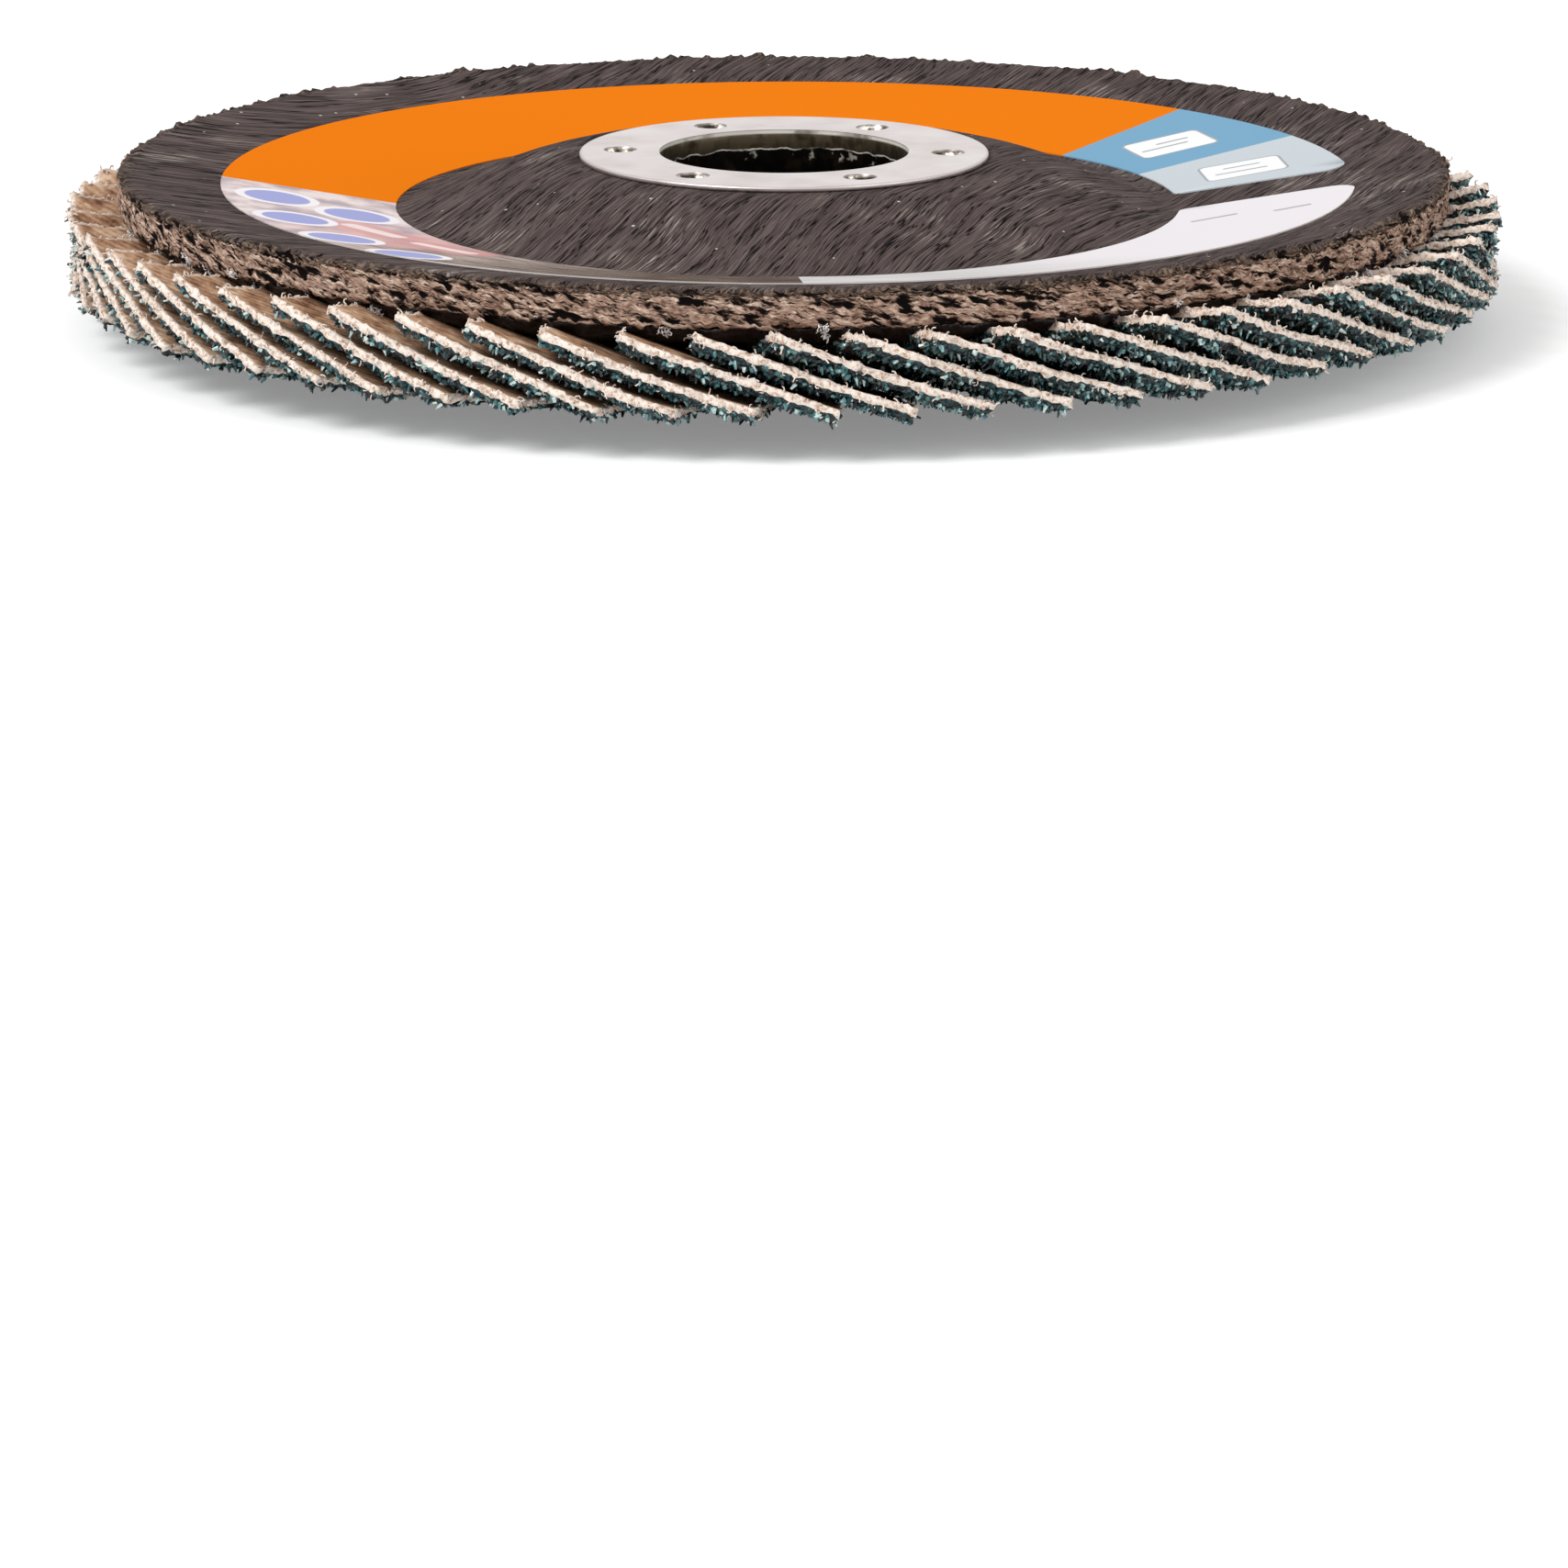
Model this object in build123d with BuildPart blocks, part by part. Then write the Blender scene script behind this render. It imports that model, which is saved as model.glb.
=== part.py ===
from build123d import *
from math import atan, cos, degrees, hypot, radians, sin, sqrt, tan
import os

os.makedirs("parts", exist_ok=True)

# ---------------------------------------------------------------- driving dimensions (mm)
# The origin is the bore centre on the clamp face of the steel ring, +Z points out of that face.
bore_d = 22.23
disc_d = 127.0
plate_d = 118.2
cone_angle = 9.0
plate_t = 3.0
rim_z = -0.97
hub_foot_r = 34.8
dome_points = [(24.0, -1.45), (27.0, -2.5), (30.5, -3.72)]

# stamped ring and the washer it is clinched to
sheet_t = 0.5
flange_d = 36.4
flange_edge_r = 0.2
collar_bend_r = 0.45
lip_d = 25.6
washer_d = 30.0
washer_t = 0.5

# pierced clinch points in the flange
clinch_count = 6
clinch_pcd = 29.2
clinch_first = 57.0
clinch_top_r = 1.45
clinch_tip_r = 0.5
clinch_wall = 0.3
clinch_depth = 1.5
clinch_slit = 0.3
clinch_slit_top = 0.35

# label
label_t = 0.12
label_outer_r = 50.4
label_clear = 0.1
label_gap_w = 7.9
label_gap_y = 0.3
label_outer_corner = 2.2
label_inner_corner = 0.8

# flap pack
flap_count = 60
flaps_per_node = 2
flap_w = 19.0
flap_len = 25.6
flap_t_outer = 1.55
flap_t_inner = 1.0
flap_slope = 19.4
flap_turn = 5.0
flap_first = 5.03
bed_t = 0.8
bed_inset = 0.5

# clearances
hub_gap = 0.02
seat_gap = 0.03

# small placing errors of the flaps round the disc, degrees, used in turn
flap_drift = [0.0, 0.14, -0.1, 0.06, -0.16, 0.12, 0.02, -0.08, 0.15, -0.03, -0.13, 0.09]

# ---------------------------------------------------------------- derived values
bore_r = bore_d / 2
collar_r = bore_r + sheet_t
flange_r = flange_d / 2
lip_r = lip_d / 2
rim_r = plate_d / 2
disc_r = disc_d / 2
cone_rise = tan(radians(cone_angle))
hub_top_z = -sheet_t - hub_gap
hub_under_z = hub_top_z - plate_t
hub_foot_z = rim_z - (rim_r - hub_foot_r) * cone_rise
hub_flat_r = flange_r + 1.0
hub_hole_r = collar_r + hub_gap
lip_z = hub_under_z - washer_t
collar_end_z = lip_z - sheet_t
clinch_r = clinch_pcd / 2
label_inner_r = hub_foot_r + label_clear


def cone_z(radius):
    """Height of the plate's top face on the cone at a radius."""
    return rim_z - (rim_r - radius) * cone_rise


def bed_z(radius):
    """Height of the glue bed's lower face at a radius."""
    return cone_z(radius) - plate_t - bed_t


# A flap lies across its own radial line. Its glued edge is flap_lead behind that line, so that both outer
# corners end on the disc's diameter although the free edge hangs lower on the cone.
flap_span = flap_w * cos(radians(flap_slope))
flap_drop = flap_w * sin(radians(flap_slope))
flap_lead = flap_span / 2 + flap_drop * sin(radians(cone_angle)) * disc_r / flap_span
flap_out = sqrt(disc_r**2 - flap_lead**2)
flap_in = flap_out - flap_len * cos(radians(cone_angle))
flap_in_r = hypot(flap_in, flap_lead)
flap_top_out = bed_z(disc_r) - seat_gap
flap_top_in = bed_z(flap_in_r) - seat_gap
flap_tilt = degrees(atan((flap_top_out - flap_top_in) / (flap_out - flap_in)))
flap_sag = flap_w * tan(radians(flap_turn / 4)) / 2

# ---------------------------------------------------------------- pierced clinch point
# A drawn cone of ring sheet, split crosswise into four petals that bite into the plate.
with BuildPart() as clinch_point:
    with BuildSketch(Plane.XZ):
        with BuildLine():
            Polyline(
                (clinch_top_r, 0),
                (clinch_top_r + clinch_wall, 0),
                (clinch_tip_r + clinch_wall, -clinch_depth),
                (clinch_tip_r, -clinch_depth),
                close=True,
            )
        make_face()
    revolve(axis=Axis.Z)
    with BuildSketch(Plane.XY.offset(-clinch_slit_top)):
        Rectangle(4 * clinch_top_r, clinch_slit, rotation=45)
        Rectangle(4 * clinch_top_r, clinch_slit, rotation=-45)
    extrude(amount=-clinch_depth, mode=Mode.SUBTRACT)

# The pit the petals press into the plate.
with BuildPart() as clinch_pit:
    with BuildSketch(Plane.XZ):
        with BuildLine():
            Polyline(
                (0, 0),
                (clinch_top_r + clinch_wall + hub_gap, 0),
                (clinch_tip_r + clinch_wall + hub_gap, -clinch_depth - hub_gap),
                (0, -clinch_depth - hub_gap),
                close=True,
            )
        make_face()
    revolve(axis=Axis.Z)

# ---------------------------------------------------------------- moulded backing plate
# Hub, dome and cone are one skin; the underside is the same skin one plate thickness lower.
with BuildPart() as backing_plate:
    with BuildSketch(Plane.XZ):
        with BuildLine():
            top_flat = Line((hub_hole_r, hub_top_z), (hub_flat_r, hub_top_z))
            top_dome = Spline(
                [top_flat @ 1] + dome_points + [(hub_foot_r, hub_foot_z)],
                tangents=[(1, 0), (1, cone_rise)],
            )
            top_cone = Line(top_dome @ 1, (rim_r, rim_z))
            rim_edge = Line(top_cone @ 1, (rim_r, rim_z - plate_t))
            under_cone = Line(rim_edge @ 1, (hub_foot_r, hub_foot_z - plate_t))
            under_dome = Spline(
                [under_cone @ 1]
                + [(r, z - plate_t) for r, z in reversed(dome_points)]
                + [(hub_flat_r, hub_under_z)],
                tangents=[(-1, -cone_rise), (-1, 0)],
            )
            under_flat = Line(under_dome @ 1, (hub_hole_r, hub_under_z))
            Line(under_flat @ 1, top_flat @ 0)
        make_face()
    revolve(axis=Axis.Z)
    with PolarLocations(clinch_r, clinch_count, start_angle=clinch_first):
        add(clinch_pit.part, mode=Mode.SUBTRACT)

# ---------------------------------------------------------------- stamped ring
# One sheet: flange on the hub, collar down the hole, end flared over the washer.
with BuildPart() as arbor_ring:
    with BuildSketch(Plane.XZ):
        with BuildLine():
            Polyline(
                (bore_r, 0),
                (flange_r, 0),
                (flange_r, -sheet_t),
                (collar_r, -sheet_t),
                (collar_r, lip_z),
                (lip_r, lip_z),
                (lip_r, collar_end_z),
                (bore_r, collar_end_z),
                close=True,
            )
        ring_face = make_face()
        fillet(ring_face.vertices().group_by(Axis.X)[-1], radius=flange_edge_r)
        fillet(ring_face.vertices().group_by(Axis.X)[0], radius=collar_bend_r)
    revolve(axis=Axis.Z)
    with PolarLocations(clinch_r, clinch_count, start_angle=clinch_first):
        Cylinder(clinch_top_r, 4 * sheet_t, mode=Mode.SUBTRACT)
    with PolarLocations(clinch_r, clinch_count, start_angle=clinch_first):
        add(clinch_point.part)

# ---------------------------------------------------------------- washer under the hub
with BuildPart() as clinch_washer:
    with BuildSketch(Plane.XY.offset(lip_z)):
        Circle(washer_d / 2)
        Circle(hub_hole_r, mode=Mode.SUBTRACT)
    extrude(amount=washer_t)

# ---------------------------------------------------------------- glue bed
with BuildPart() as adhesive_bed:
    with BuildSketch(Plane.XZ):
        with BuildLine():
            Polyline(
                (flap_in_r, bed_z(flap_in_r) + bed_t),
                (rim_r - bed_inset, bed_z(rim_r - bed_inset) + bed_t),
                (rim_r - bed_inset, bed_z(rim_r - bed_inset)),
                (flap_in_r, bed_z(flap_in_r)),
                close=True,
            )
        make_face()
    revolve(axis=Axis.Z)

# ---------------------------------------------------------------- label
# A conical skin on the plate, trimmed to a C by one straight gap with rounded corners.
with BuildPart() as label:
    with BuildSketch(Plane.XZ):
        with BuildLine():
            Polyline(
                (label_inner_r, cone_z(label_inner_r)),
                (label_outer_r, cone_z(label_outer_r)),
                (label_outer_r, cone_z(label_outer_r) + label_t),
                (label_inner_r, cone_z(label_inner_r) + label_t),
                close=True,
            )
        make_face()
    revolve(axis=Axis.Z)
    with BuildSketch(Plane.XY.offset(hub_foot_z - plate_t)):
        Circle(label_outer_r)
        Circle(label_inner_r, mode=Mode.SUBTRACT)
        with Locations((rim_r / 2, label_gap_y)):
            Rectangle(rim_r, label_gap_w, mode=Mode.SUBTRACT)
        label_corners = vertices().filter_by(lambda v: abs(v.Y - label_gap_y) < label_gap_w)
        fillet(label_corners.filter_by(lambda v: v.X > hub_foot_r + 5), radius=label_outer_corner)
        label_corners = vertices().filter_by(lambda v: abs(v.Y - label_gap_y) < label_gap_w)
        fillet(label_corners.filter_by(lambda v: 0 < v.X < hub_foot_r + 2), radius=label_inner_corner)
    extrude(amount=3 * plate_t, mode=Mode.INTERSECT)

# ---------------------------------------------------------------- one flap
# Cloth with its bonded grain: lofted from the pinched inner end to the full outer end, slightly bowed.
with BuildPart() as flap:
    for reach, top_z, thick in (
        (flap_in, flap_top_in, flap_t_inner),
        (flap_out, flap_top_out, flap_t_outer),
    ):
        across = (-sin(radians(flap_slope)), -cos(radians(flap_slope)))
        glued = (-flap_lead, 0.0)
        free = (flap_span - flap_lead, -flap_drop)
        middle = ((glued[0] + free[0]) / 2, (glued[1] + free[1]) / 2)
        section = Plane(
            origin=(reach, 0, top_z),
            x_dir=(0, 1, 0),
            z_dir=(cos(radians(flap_tilt)), 0, sin(radians(flap_tilt))),
        )
        with BuildSketch(section):
            with BuildLine():
                upper = ThreePointArc(
                    glued,
                    (middle[0] + across[0] * flap_sag, middle[1] + across[1] * flap_sag),
                    free,
                )
                lower = ThreePointArc(
                    (free[0] + across[0] * thick, free[1] + across[1] * thick),
                    (middle[0] + across[0] * (flap_sag + thick), middle[1] + across[1] * (flap_sag + thick)),
                    (glued[0] + across[0] * thick, glued[1] + across[1] * thick),
                )
                Line(upper @ 1, lower @ 0)
                Line(lower @ 1, upper @ 0)
            make_face()
    loft(ruled=True)

# ---------------------------------------------------------------- export
single_pieces = {
    "backing_plate": backing_plate.part,
    "arbor_ring": arbor_ring.part,
    "clinch_washer": clinch_washer.part,
    "adhesive_bed": adhesive_bed.part,
    "label": label.part,
}
for name, shape in single_pieces.items():
    shape.label = name
    export_step(shape, "parts/" + name + ".step")

flap_pitch = 360 / flap_count
for node in range(flap_count // flaps_per_node):
    turns = []
    for member in range(flaps_per_node):
        index = node * flaps_per_node + member
        turns.append(flap_first + index * flap_pitch + flap_drift[index % len(flap_drift)])
    with BuildPart() as flap_pair:
        with Locations([Location((0, 0, 0), (0, 0, turn)) for turn in turns]):
            add(flap.part)
    name = "flap_pair_%02d" % (node + 1)
    flap_pair.part.label = name
    export_step(flap_pair.part, "parts/" + name + ".step")
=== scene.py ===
"""Looks for the flap disc: camera, floor, light and finishes over the CAD frame. Lengths in tables are mm."""
import math

import bmesh
import bpy
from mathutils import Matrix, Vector, noise


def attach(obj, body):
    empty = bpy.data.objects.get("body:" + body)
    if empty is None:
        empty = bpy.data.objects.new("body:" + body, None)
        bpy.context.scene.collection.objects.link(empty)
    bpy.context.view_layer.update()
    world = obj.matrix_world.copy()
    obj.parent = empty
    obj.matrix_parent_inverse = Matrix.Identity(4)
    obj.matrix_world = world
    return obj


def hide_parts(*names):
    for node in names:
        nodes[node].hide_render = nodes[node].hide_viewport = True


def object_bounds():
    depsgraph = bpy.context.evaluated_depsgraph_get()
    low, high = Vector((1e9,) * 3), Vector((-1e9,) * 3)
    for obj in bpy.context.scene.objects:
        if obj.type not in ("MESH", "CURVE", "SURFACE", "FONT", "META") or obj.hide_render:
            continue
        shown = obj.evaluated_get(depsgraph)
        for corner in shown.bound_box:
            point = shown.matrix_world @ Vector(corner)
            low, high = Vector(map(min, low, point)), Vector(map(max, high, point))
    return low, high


MM = 0.001
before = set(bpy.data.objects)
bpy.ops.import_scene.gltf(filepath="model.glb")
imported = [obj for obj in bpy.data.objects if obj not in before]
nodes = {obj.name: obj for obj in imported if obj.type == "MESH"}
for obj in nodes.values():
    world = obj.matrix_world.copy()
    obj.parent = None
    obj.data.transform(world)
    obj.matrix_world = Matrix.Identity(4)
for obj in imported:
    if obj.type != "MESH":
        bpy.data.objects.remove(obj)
cad_box = [list(corner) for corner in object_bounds()]
floor_z = cad_box[0][2]

# ---------------------------------------------------------------- sizes shared with the CAD model
# the plate: its rim, the cone it is pressed to, its wall and its hub
RIM_R = 59.1
RIM_Z = -0.97
CONE_ANGLE = math.radians(9.0)
CONE = math.tan(CONE_ANGLE)
PLATE_T = 3.0
HUB_FOOT_R = 34.8
HUB_HOLE_R = 11.635
HUB_TOP_Z = -0.52
HUB_FLAT_R = 19.2
DOME = [(24.0, -1.45), (27.0, -2.5), (30.5, -3.72)]
# a flap: its size, its slope over the next one, its bow, and how deep it seats in the glue
DISC_R = 63.5
BED_T = 0.8
FLAP_W = 19.0
FLAP_LEN = 25.6
FLAP_T_OUT = 1.55
FLAP_T_IN = 1.0
SLOPE = math.radians(19.4)
TURN = math.radians(5.0)
SEAT = 0.03
# the flaps' places round the disc, in degrees, with the small errors of a real one
FLAP_FIRST = 5.03
FLAP_COUNT = 60
FLAP_DRIFT = [0.0, 0.14, -0.1, 0.06, -0.16, 0.12, 0.02, -0.08, 0.15, -0.03, -0.13, 0.09]


def cone_z(radius):
    """Height of the cone's upper face."""
    return RIM_Z - (RIM_R - radius) * CONE


def bed_z(radius):
    """Height of the glue bed's lower face, which the flaps hang from."""
    return cone_z(radius) - PLATE_T - BED_T


# a flap's lie: its width seen from above, its fall, the lead of its top edge, and both ends' reach and height
SPAN = FLAP_W * math.cos(SLOPE)
DROP = FLAP_W * math.sin(SLOPE)
LEAD = SPAN / 2 + DROP * math.sin(CONE_ANGLE) * DISC_R / SPAN
REACH_OUT = math.sqrt(DISC_R**2 - LEAD**2)
REACH_IN = REACH_OUT - FLAP_LEN * math.cos(CONE_ANGLE)
TOP_OUT = bed_z(DISC_R) - SEAT
TOP_IN = bed_z(math.hypot(REACH_IN, LEAD)) - SEAT
TILT = math.atan((TOP_OUT - TOP_IN) / (REACH_OUT - REACH_IN))
SAG = FLAP_W * math.tan(TURN / 4) / 2


# ---------------------------------------------------------------- small helpers
def linear(code):
    """A colour as it is written on screen, #rrggbb, turned to Blender's linear values."""
    out = []
    for i in (1, 3, 5):
        c = int(code[i : i + 2], 16) / 255
        out.append(c / 12.92 if c <= 0.04045 else ((c + 0.055) / 1.055) ** 2.4)
    return (*out, 1.0)


def per_mm(cells):
    """Scale of a pattern with this many cells to the millimetre, on coordinates in metres."""
    return cells / MM


def add(tree, kind, links=None, stops=(), mode="LINEAR", out=0, **settings):
    """One node: its output of that name or number, or the node itself where out is None. An input that is
    given as a socket is linked, any other is set. Stops are a colour ramp's: place and tone."""
    n = tree.nodes.new(kind)
    for key, value in settings.items():
        setattr(n, key, value)
    for key, value in (links or {}).items():
        if isinstance(value, bpy.types.NodeSocket):
            tree.links.new(value, n.inputs[key])
        else:
            n.inputs[key].default_value = value
    if stops:
        n.color_ramp.interpolation = mode
        while len(n.color_ramp.elements) < len(stops):
            n.color_ramp.elements.new(0.5)
        for element, (spot, tone) in zip(n.color_ramp.elements, stops):
            element.position = spot
            element.color = linear(tone) if isinstance(tone, str) else (tone, tone, tone, 1.0)
    return n if out is None else n.outputs[out]


def finish(name, values):
    """A new material with these shader values: it, its tree, its shader and the object's own coordinates."""
    m = bpy.data.materials.new(name)
    m.use_nodes = True
    t = m.node_tree
    shader = t.nodes["Principled BSDF"]
    for key, value in values.items():
        shader.inputs[key].default_value = value
    return m, t, shader, add(t, "ShaderNodeTexCoord", out="Object")


def dress(t, shader, colour, height, strength, depth, invert=False):
    """Colour and relief for a shader, the relief's depth in mm."""
    t.links.new(colour, shader.inputs["Base Color"])
    bump = add(t, "ShaderNodeBump", {
        "Height": height, "Strength": strength, "Distance": depth * MM}, invert=invert)
    t.links.new(bump, shader.inputs["Normal"])


def coats(t, under, *layers):
    """Colours laid over another, each where its mask is 1: a plain one as hex, a pattern as its socket."""
    for mask, over in layers:
        over = linear(over) if isinstance(over, str) else over
        under = add(t, "ShaderNodeMix", {0: mask, 6: under, 7: over}, data_type="RGBA", out=2)
    return under


def put(mesh_object, slot_name, *replaced):
    """A finished piece into the scene, on the disc's one body, in place of its CAD nodes. The slot name is
    not used.
    """
    bpy.context.scene.collection.objects.link(mesh_object)
    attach(mesh_object, "root")
    if replaced:
        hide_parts(*replaced)


def outward(me):
    """Faces turned to point out of a closed shell."""
    bm = bmesh.new()
    bm.from_mesh(me)
    bmesh.ops.recalc_face_normals(bm, faces=bm.faces)
    bm.to_mesh(me)
    bm.free()


def mesh_from(name, points, faces):
    """A smooth-shaded mesh object from its points in metres and its faces."""
    me = bpy.data.meshes.new(name)
    me.from_pydata(points, [], faces)
    me.polygons.foreach_set("use_smooth", [True] * len(me.polygons))
    me.update()
    return bpy.data.objects.new(name, me)


def revolved(n, around):
    """Faces of a closed section of n points carried round the axis, its points laid out turn by turn."""
    faces = []
    for i in range(around):
        j = (i + 1) % around
        faces += [(i * n + k, j * n + k, j * n + (k + 1) % n, i * n + (k + 1) % n) for k in range(n)]
    return faces


def new_tree(name, inputs):
    """A geometry tree with these named inputs, and the sockets that bring them in."""
    t = bpy.data.node_groups.new(name, "GeometryNodeTree")
    t.interface.new_socket("Geometry", in_out="INPUT", socket_type="NodeSocketGeometry")
    for title, value in inputs.items():
        kind = "NodeSocketInt" if isinstance(value, int) else "NodeSocketFloat"
        t.interface.new_socket(title, in_out="INPUT", socket_type=kind).default_value = value
    t.interface.new_socket("Geometry", in_out="OUTPUT", socket_type="NodeSocketGeometry")
    return t, add(t, "NodeGroupInput", out=None).outputs


def grown(o, tree, values):
    """The plain mesh that a tree makes of an object. An input without a value here keeps the tree's own."""
    mod = o.modifiers.new(tree.name, "NODES")
    mod.node_group = tree
    for socket in tree.interface.items_tree:
        if socket.in_out == "INPUT" and socket.name != "Geometry":
            mod[socket.identifier] = values.get(socket.name, socket.default_value)
    bpy.context.view_layer.update()
    seen = o.evaluated_get(bpy.context.evaluated_depsgraph_get())
    me = bpy.data.meshes.new_from_object(seen)
    o.modifiers.remove(mod)
    return me


# ---------------------------------------------------------------- fibre board plate
# Moulded fibre board. Its dark matt skin shows fibres that all lie one way, with fine black cracks
# between them. Its trimmed rim is raw: pale flakes of fibre in slanting rows, their pits painted black as
# shade.
# Left of COMB_FROM_X the fibres lie along x, then they climb at COMB_SLOPE, over a bend of COMB_BEND.
COMB_FROM_X = -34.0
COMB_SLOPE = 2.1
COMB_BEND = 60.0
COMB_SWAY = 3.0
# few cells upwards, so that a fibre holds together where the dome and the cone climb
STRAND_UP = 0.35


def combed(t, place):
    """Coordinates that follow the fibres: along x at the left, then swinging round to about 65 degrees."""
    sway = add(t, "ShaderNodeTexNoise", {"Vector": place, "Scale": per_mm(0.07), "Detail": 1.0}, out="Color")
    sway = add(t, "ShaderNodeVectorMath", {0: sway, 1: (0.5, 0.5, 0.5)}, operation="SUBTRACT")
    sway = add(t, "ShaderNodeVectorMath", {0: sway, "Scale": COMB_SWAY * MM}, operation="SCALE")
    wavy = add(t, "ShaderNodeVectorMath", {0: place, 1: sway}, operation="ADD")
    x, y, z = add(t, "ShaderNodeSeparateXYZ", {0: wavy}, out=None).outputs
    rise = add(t, "ShaderNodeMath", {0: x, 1: -COMB_FROM_X * MM}, operation="ADD")
    rise = add(t, "ShaderNodeMath", {0: rise, 1: COMB_SLOPE}, operation="MULTIPLY")
    rise = add(t, "ShaderNodeMath", {0: rise, 1: 0.0, 2: COMB_BEND * MM}, operation="SMOOTH_MAX")
    across = add(t, "ShaderNodeMath", {0: y, 1: rise}, operation="SUBTRACT")
    along = add(t, "ShaderNodeMath", {0: x, 1: 0.6, 2: y}, operation="MULTIPLY_ADD")
    return add(t, "ShaderNodeCombineXYZ", {0: along, 1: across, 2: z})


def specks(t, place, scale, size, share):
    """Mask of small round spots: size is their radius in cells, share how many of the cells have one."""
    cell = add(t, "ShaderNodeTexVoronoi", {"Vector": place, "Scale": scale}, out=None).outputs
    dot = add(t, "ShaderNodeValToRGB", {0: cell["Distance"]}, [(0.0, 1.0), (size * 0.7, 1.0), (size, 0.0)])
    pick = add(t, "ShaderNodeSeparateColor", {0: cell["Color"]})
    pick = add(t, "ShaderNodeValToRGB", {0: pick}, [(1.0 - share, 0.0), (1.02 - share, 1.0)])
    return add(t, "ShaderNodeMath", {0: dot, 1: pick}, operation="MULTIPLY")


def board_skin(t, place):
    """Colour and relief of the moulded skin. Fibres of 0.1 mm are drawn 0.15 to 0.36 mm wide, to show."""
    comb = combed(t, place)

    def strands(along, across, detail):
        """Streaks that follow the fibres, their sizes in cells to the millimetre."""
        cells = (per_mm(along), per_mm(across), per_mm(STRAND_UP))
        lie = add(t, "ShaderNodeMapping", {"Vector": comb, "Scale": cells})
        links = {"Vector": lie, "Scale": 1.0, "Detail": detail, "Roughness": 0.65}
        return add(t, "ShaderNodeTexNoise", links)

    fibre = strands(0.13, 2.8, 5.0)
    # cracks run where a wider pattern of strands crosses its middle, in some places only
    crack = strands(0.07, 1.05, 2.0)
    off = add(t, "ShaderNodeMath", {0: crack, 1: 0.5}, operation="SUBTRACT")
    off = add(t, "ShaderNodeMath", {0: off}, operation="ABSOLUTE")
    line = add(t, "ShaderNodeValToRGB", {0: off}, [(0.0, 1.0), (0.017, 0.95), (0.036, 0.0)])
    where = strands(0.09, 0.42, 2.0)
    where = add(t, "ShaderNodeValToRGB", {0: where}, [(0.39, 0.0), (0.47, 1.0)])
    line = add(t, "ShaderNodeMath", {0: line, 1: where}, operation="MULTIPLY")
    base = add(t, "ShaderNodeValToRGB", {0: fibre}, [
        (0.3, "#2b2423"), (0.44, "#4c4140"), (0.57, "#665a58"), (0.74, "#8f827c")])
    cloud = add(t, "ShaderNodeTexNoise", {"Vector": place, "Scale": per_mm(0.11), "Detail": 3.0})
    tint = add(t, "ShaderNodeValToRGB", {0: cloud}, [(0.35, "#463c3b"), (0.65, "#6d605c")])
    # scuffs: pale fibres in some of the clouds
    scuff = add(t, "ShaderNodeValToRGB", {0: fibre}, [(0.55, 0.0), (0.62, 0.85)])
    rubbed = add(t, "ShaderNodeValToRGB", {0: cloud}, [(0.56, 0.0), (0.64, 1.0)])
    scuff = add(t, "ShaderNodeMath", {0: scuff, 1: rubbed}, operation="MULTIPLY")
    chips = specks(t, place, per_mm(0.7), 0.12, 0.13)
    base = coats(t, base, (0.22, tint), (line, "#0e0b0a"), (scuff, "#b3a89f"), (chips, "#d8cfc4"))
    return base, add(t, "ShaderNodeMath", {0: fibre, 1: line}, operation="SUBTRACT")


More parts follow.
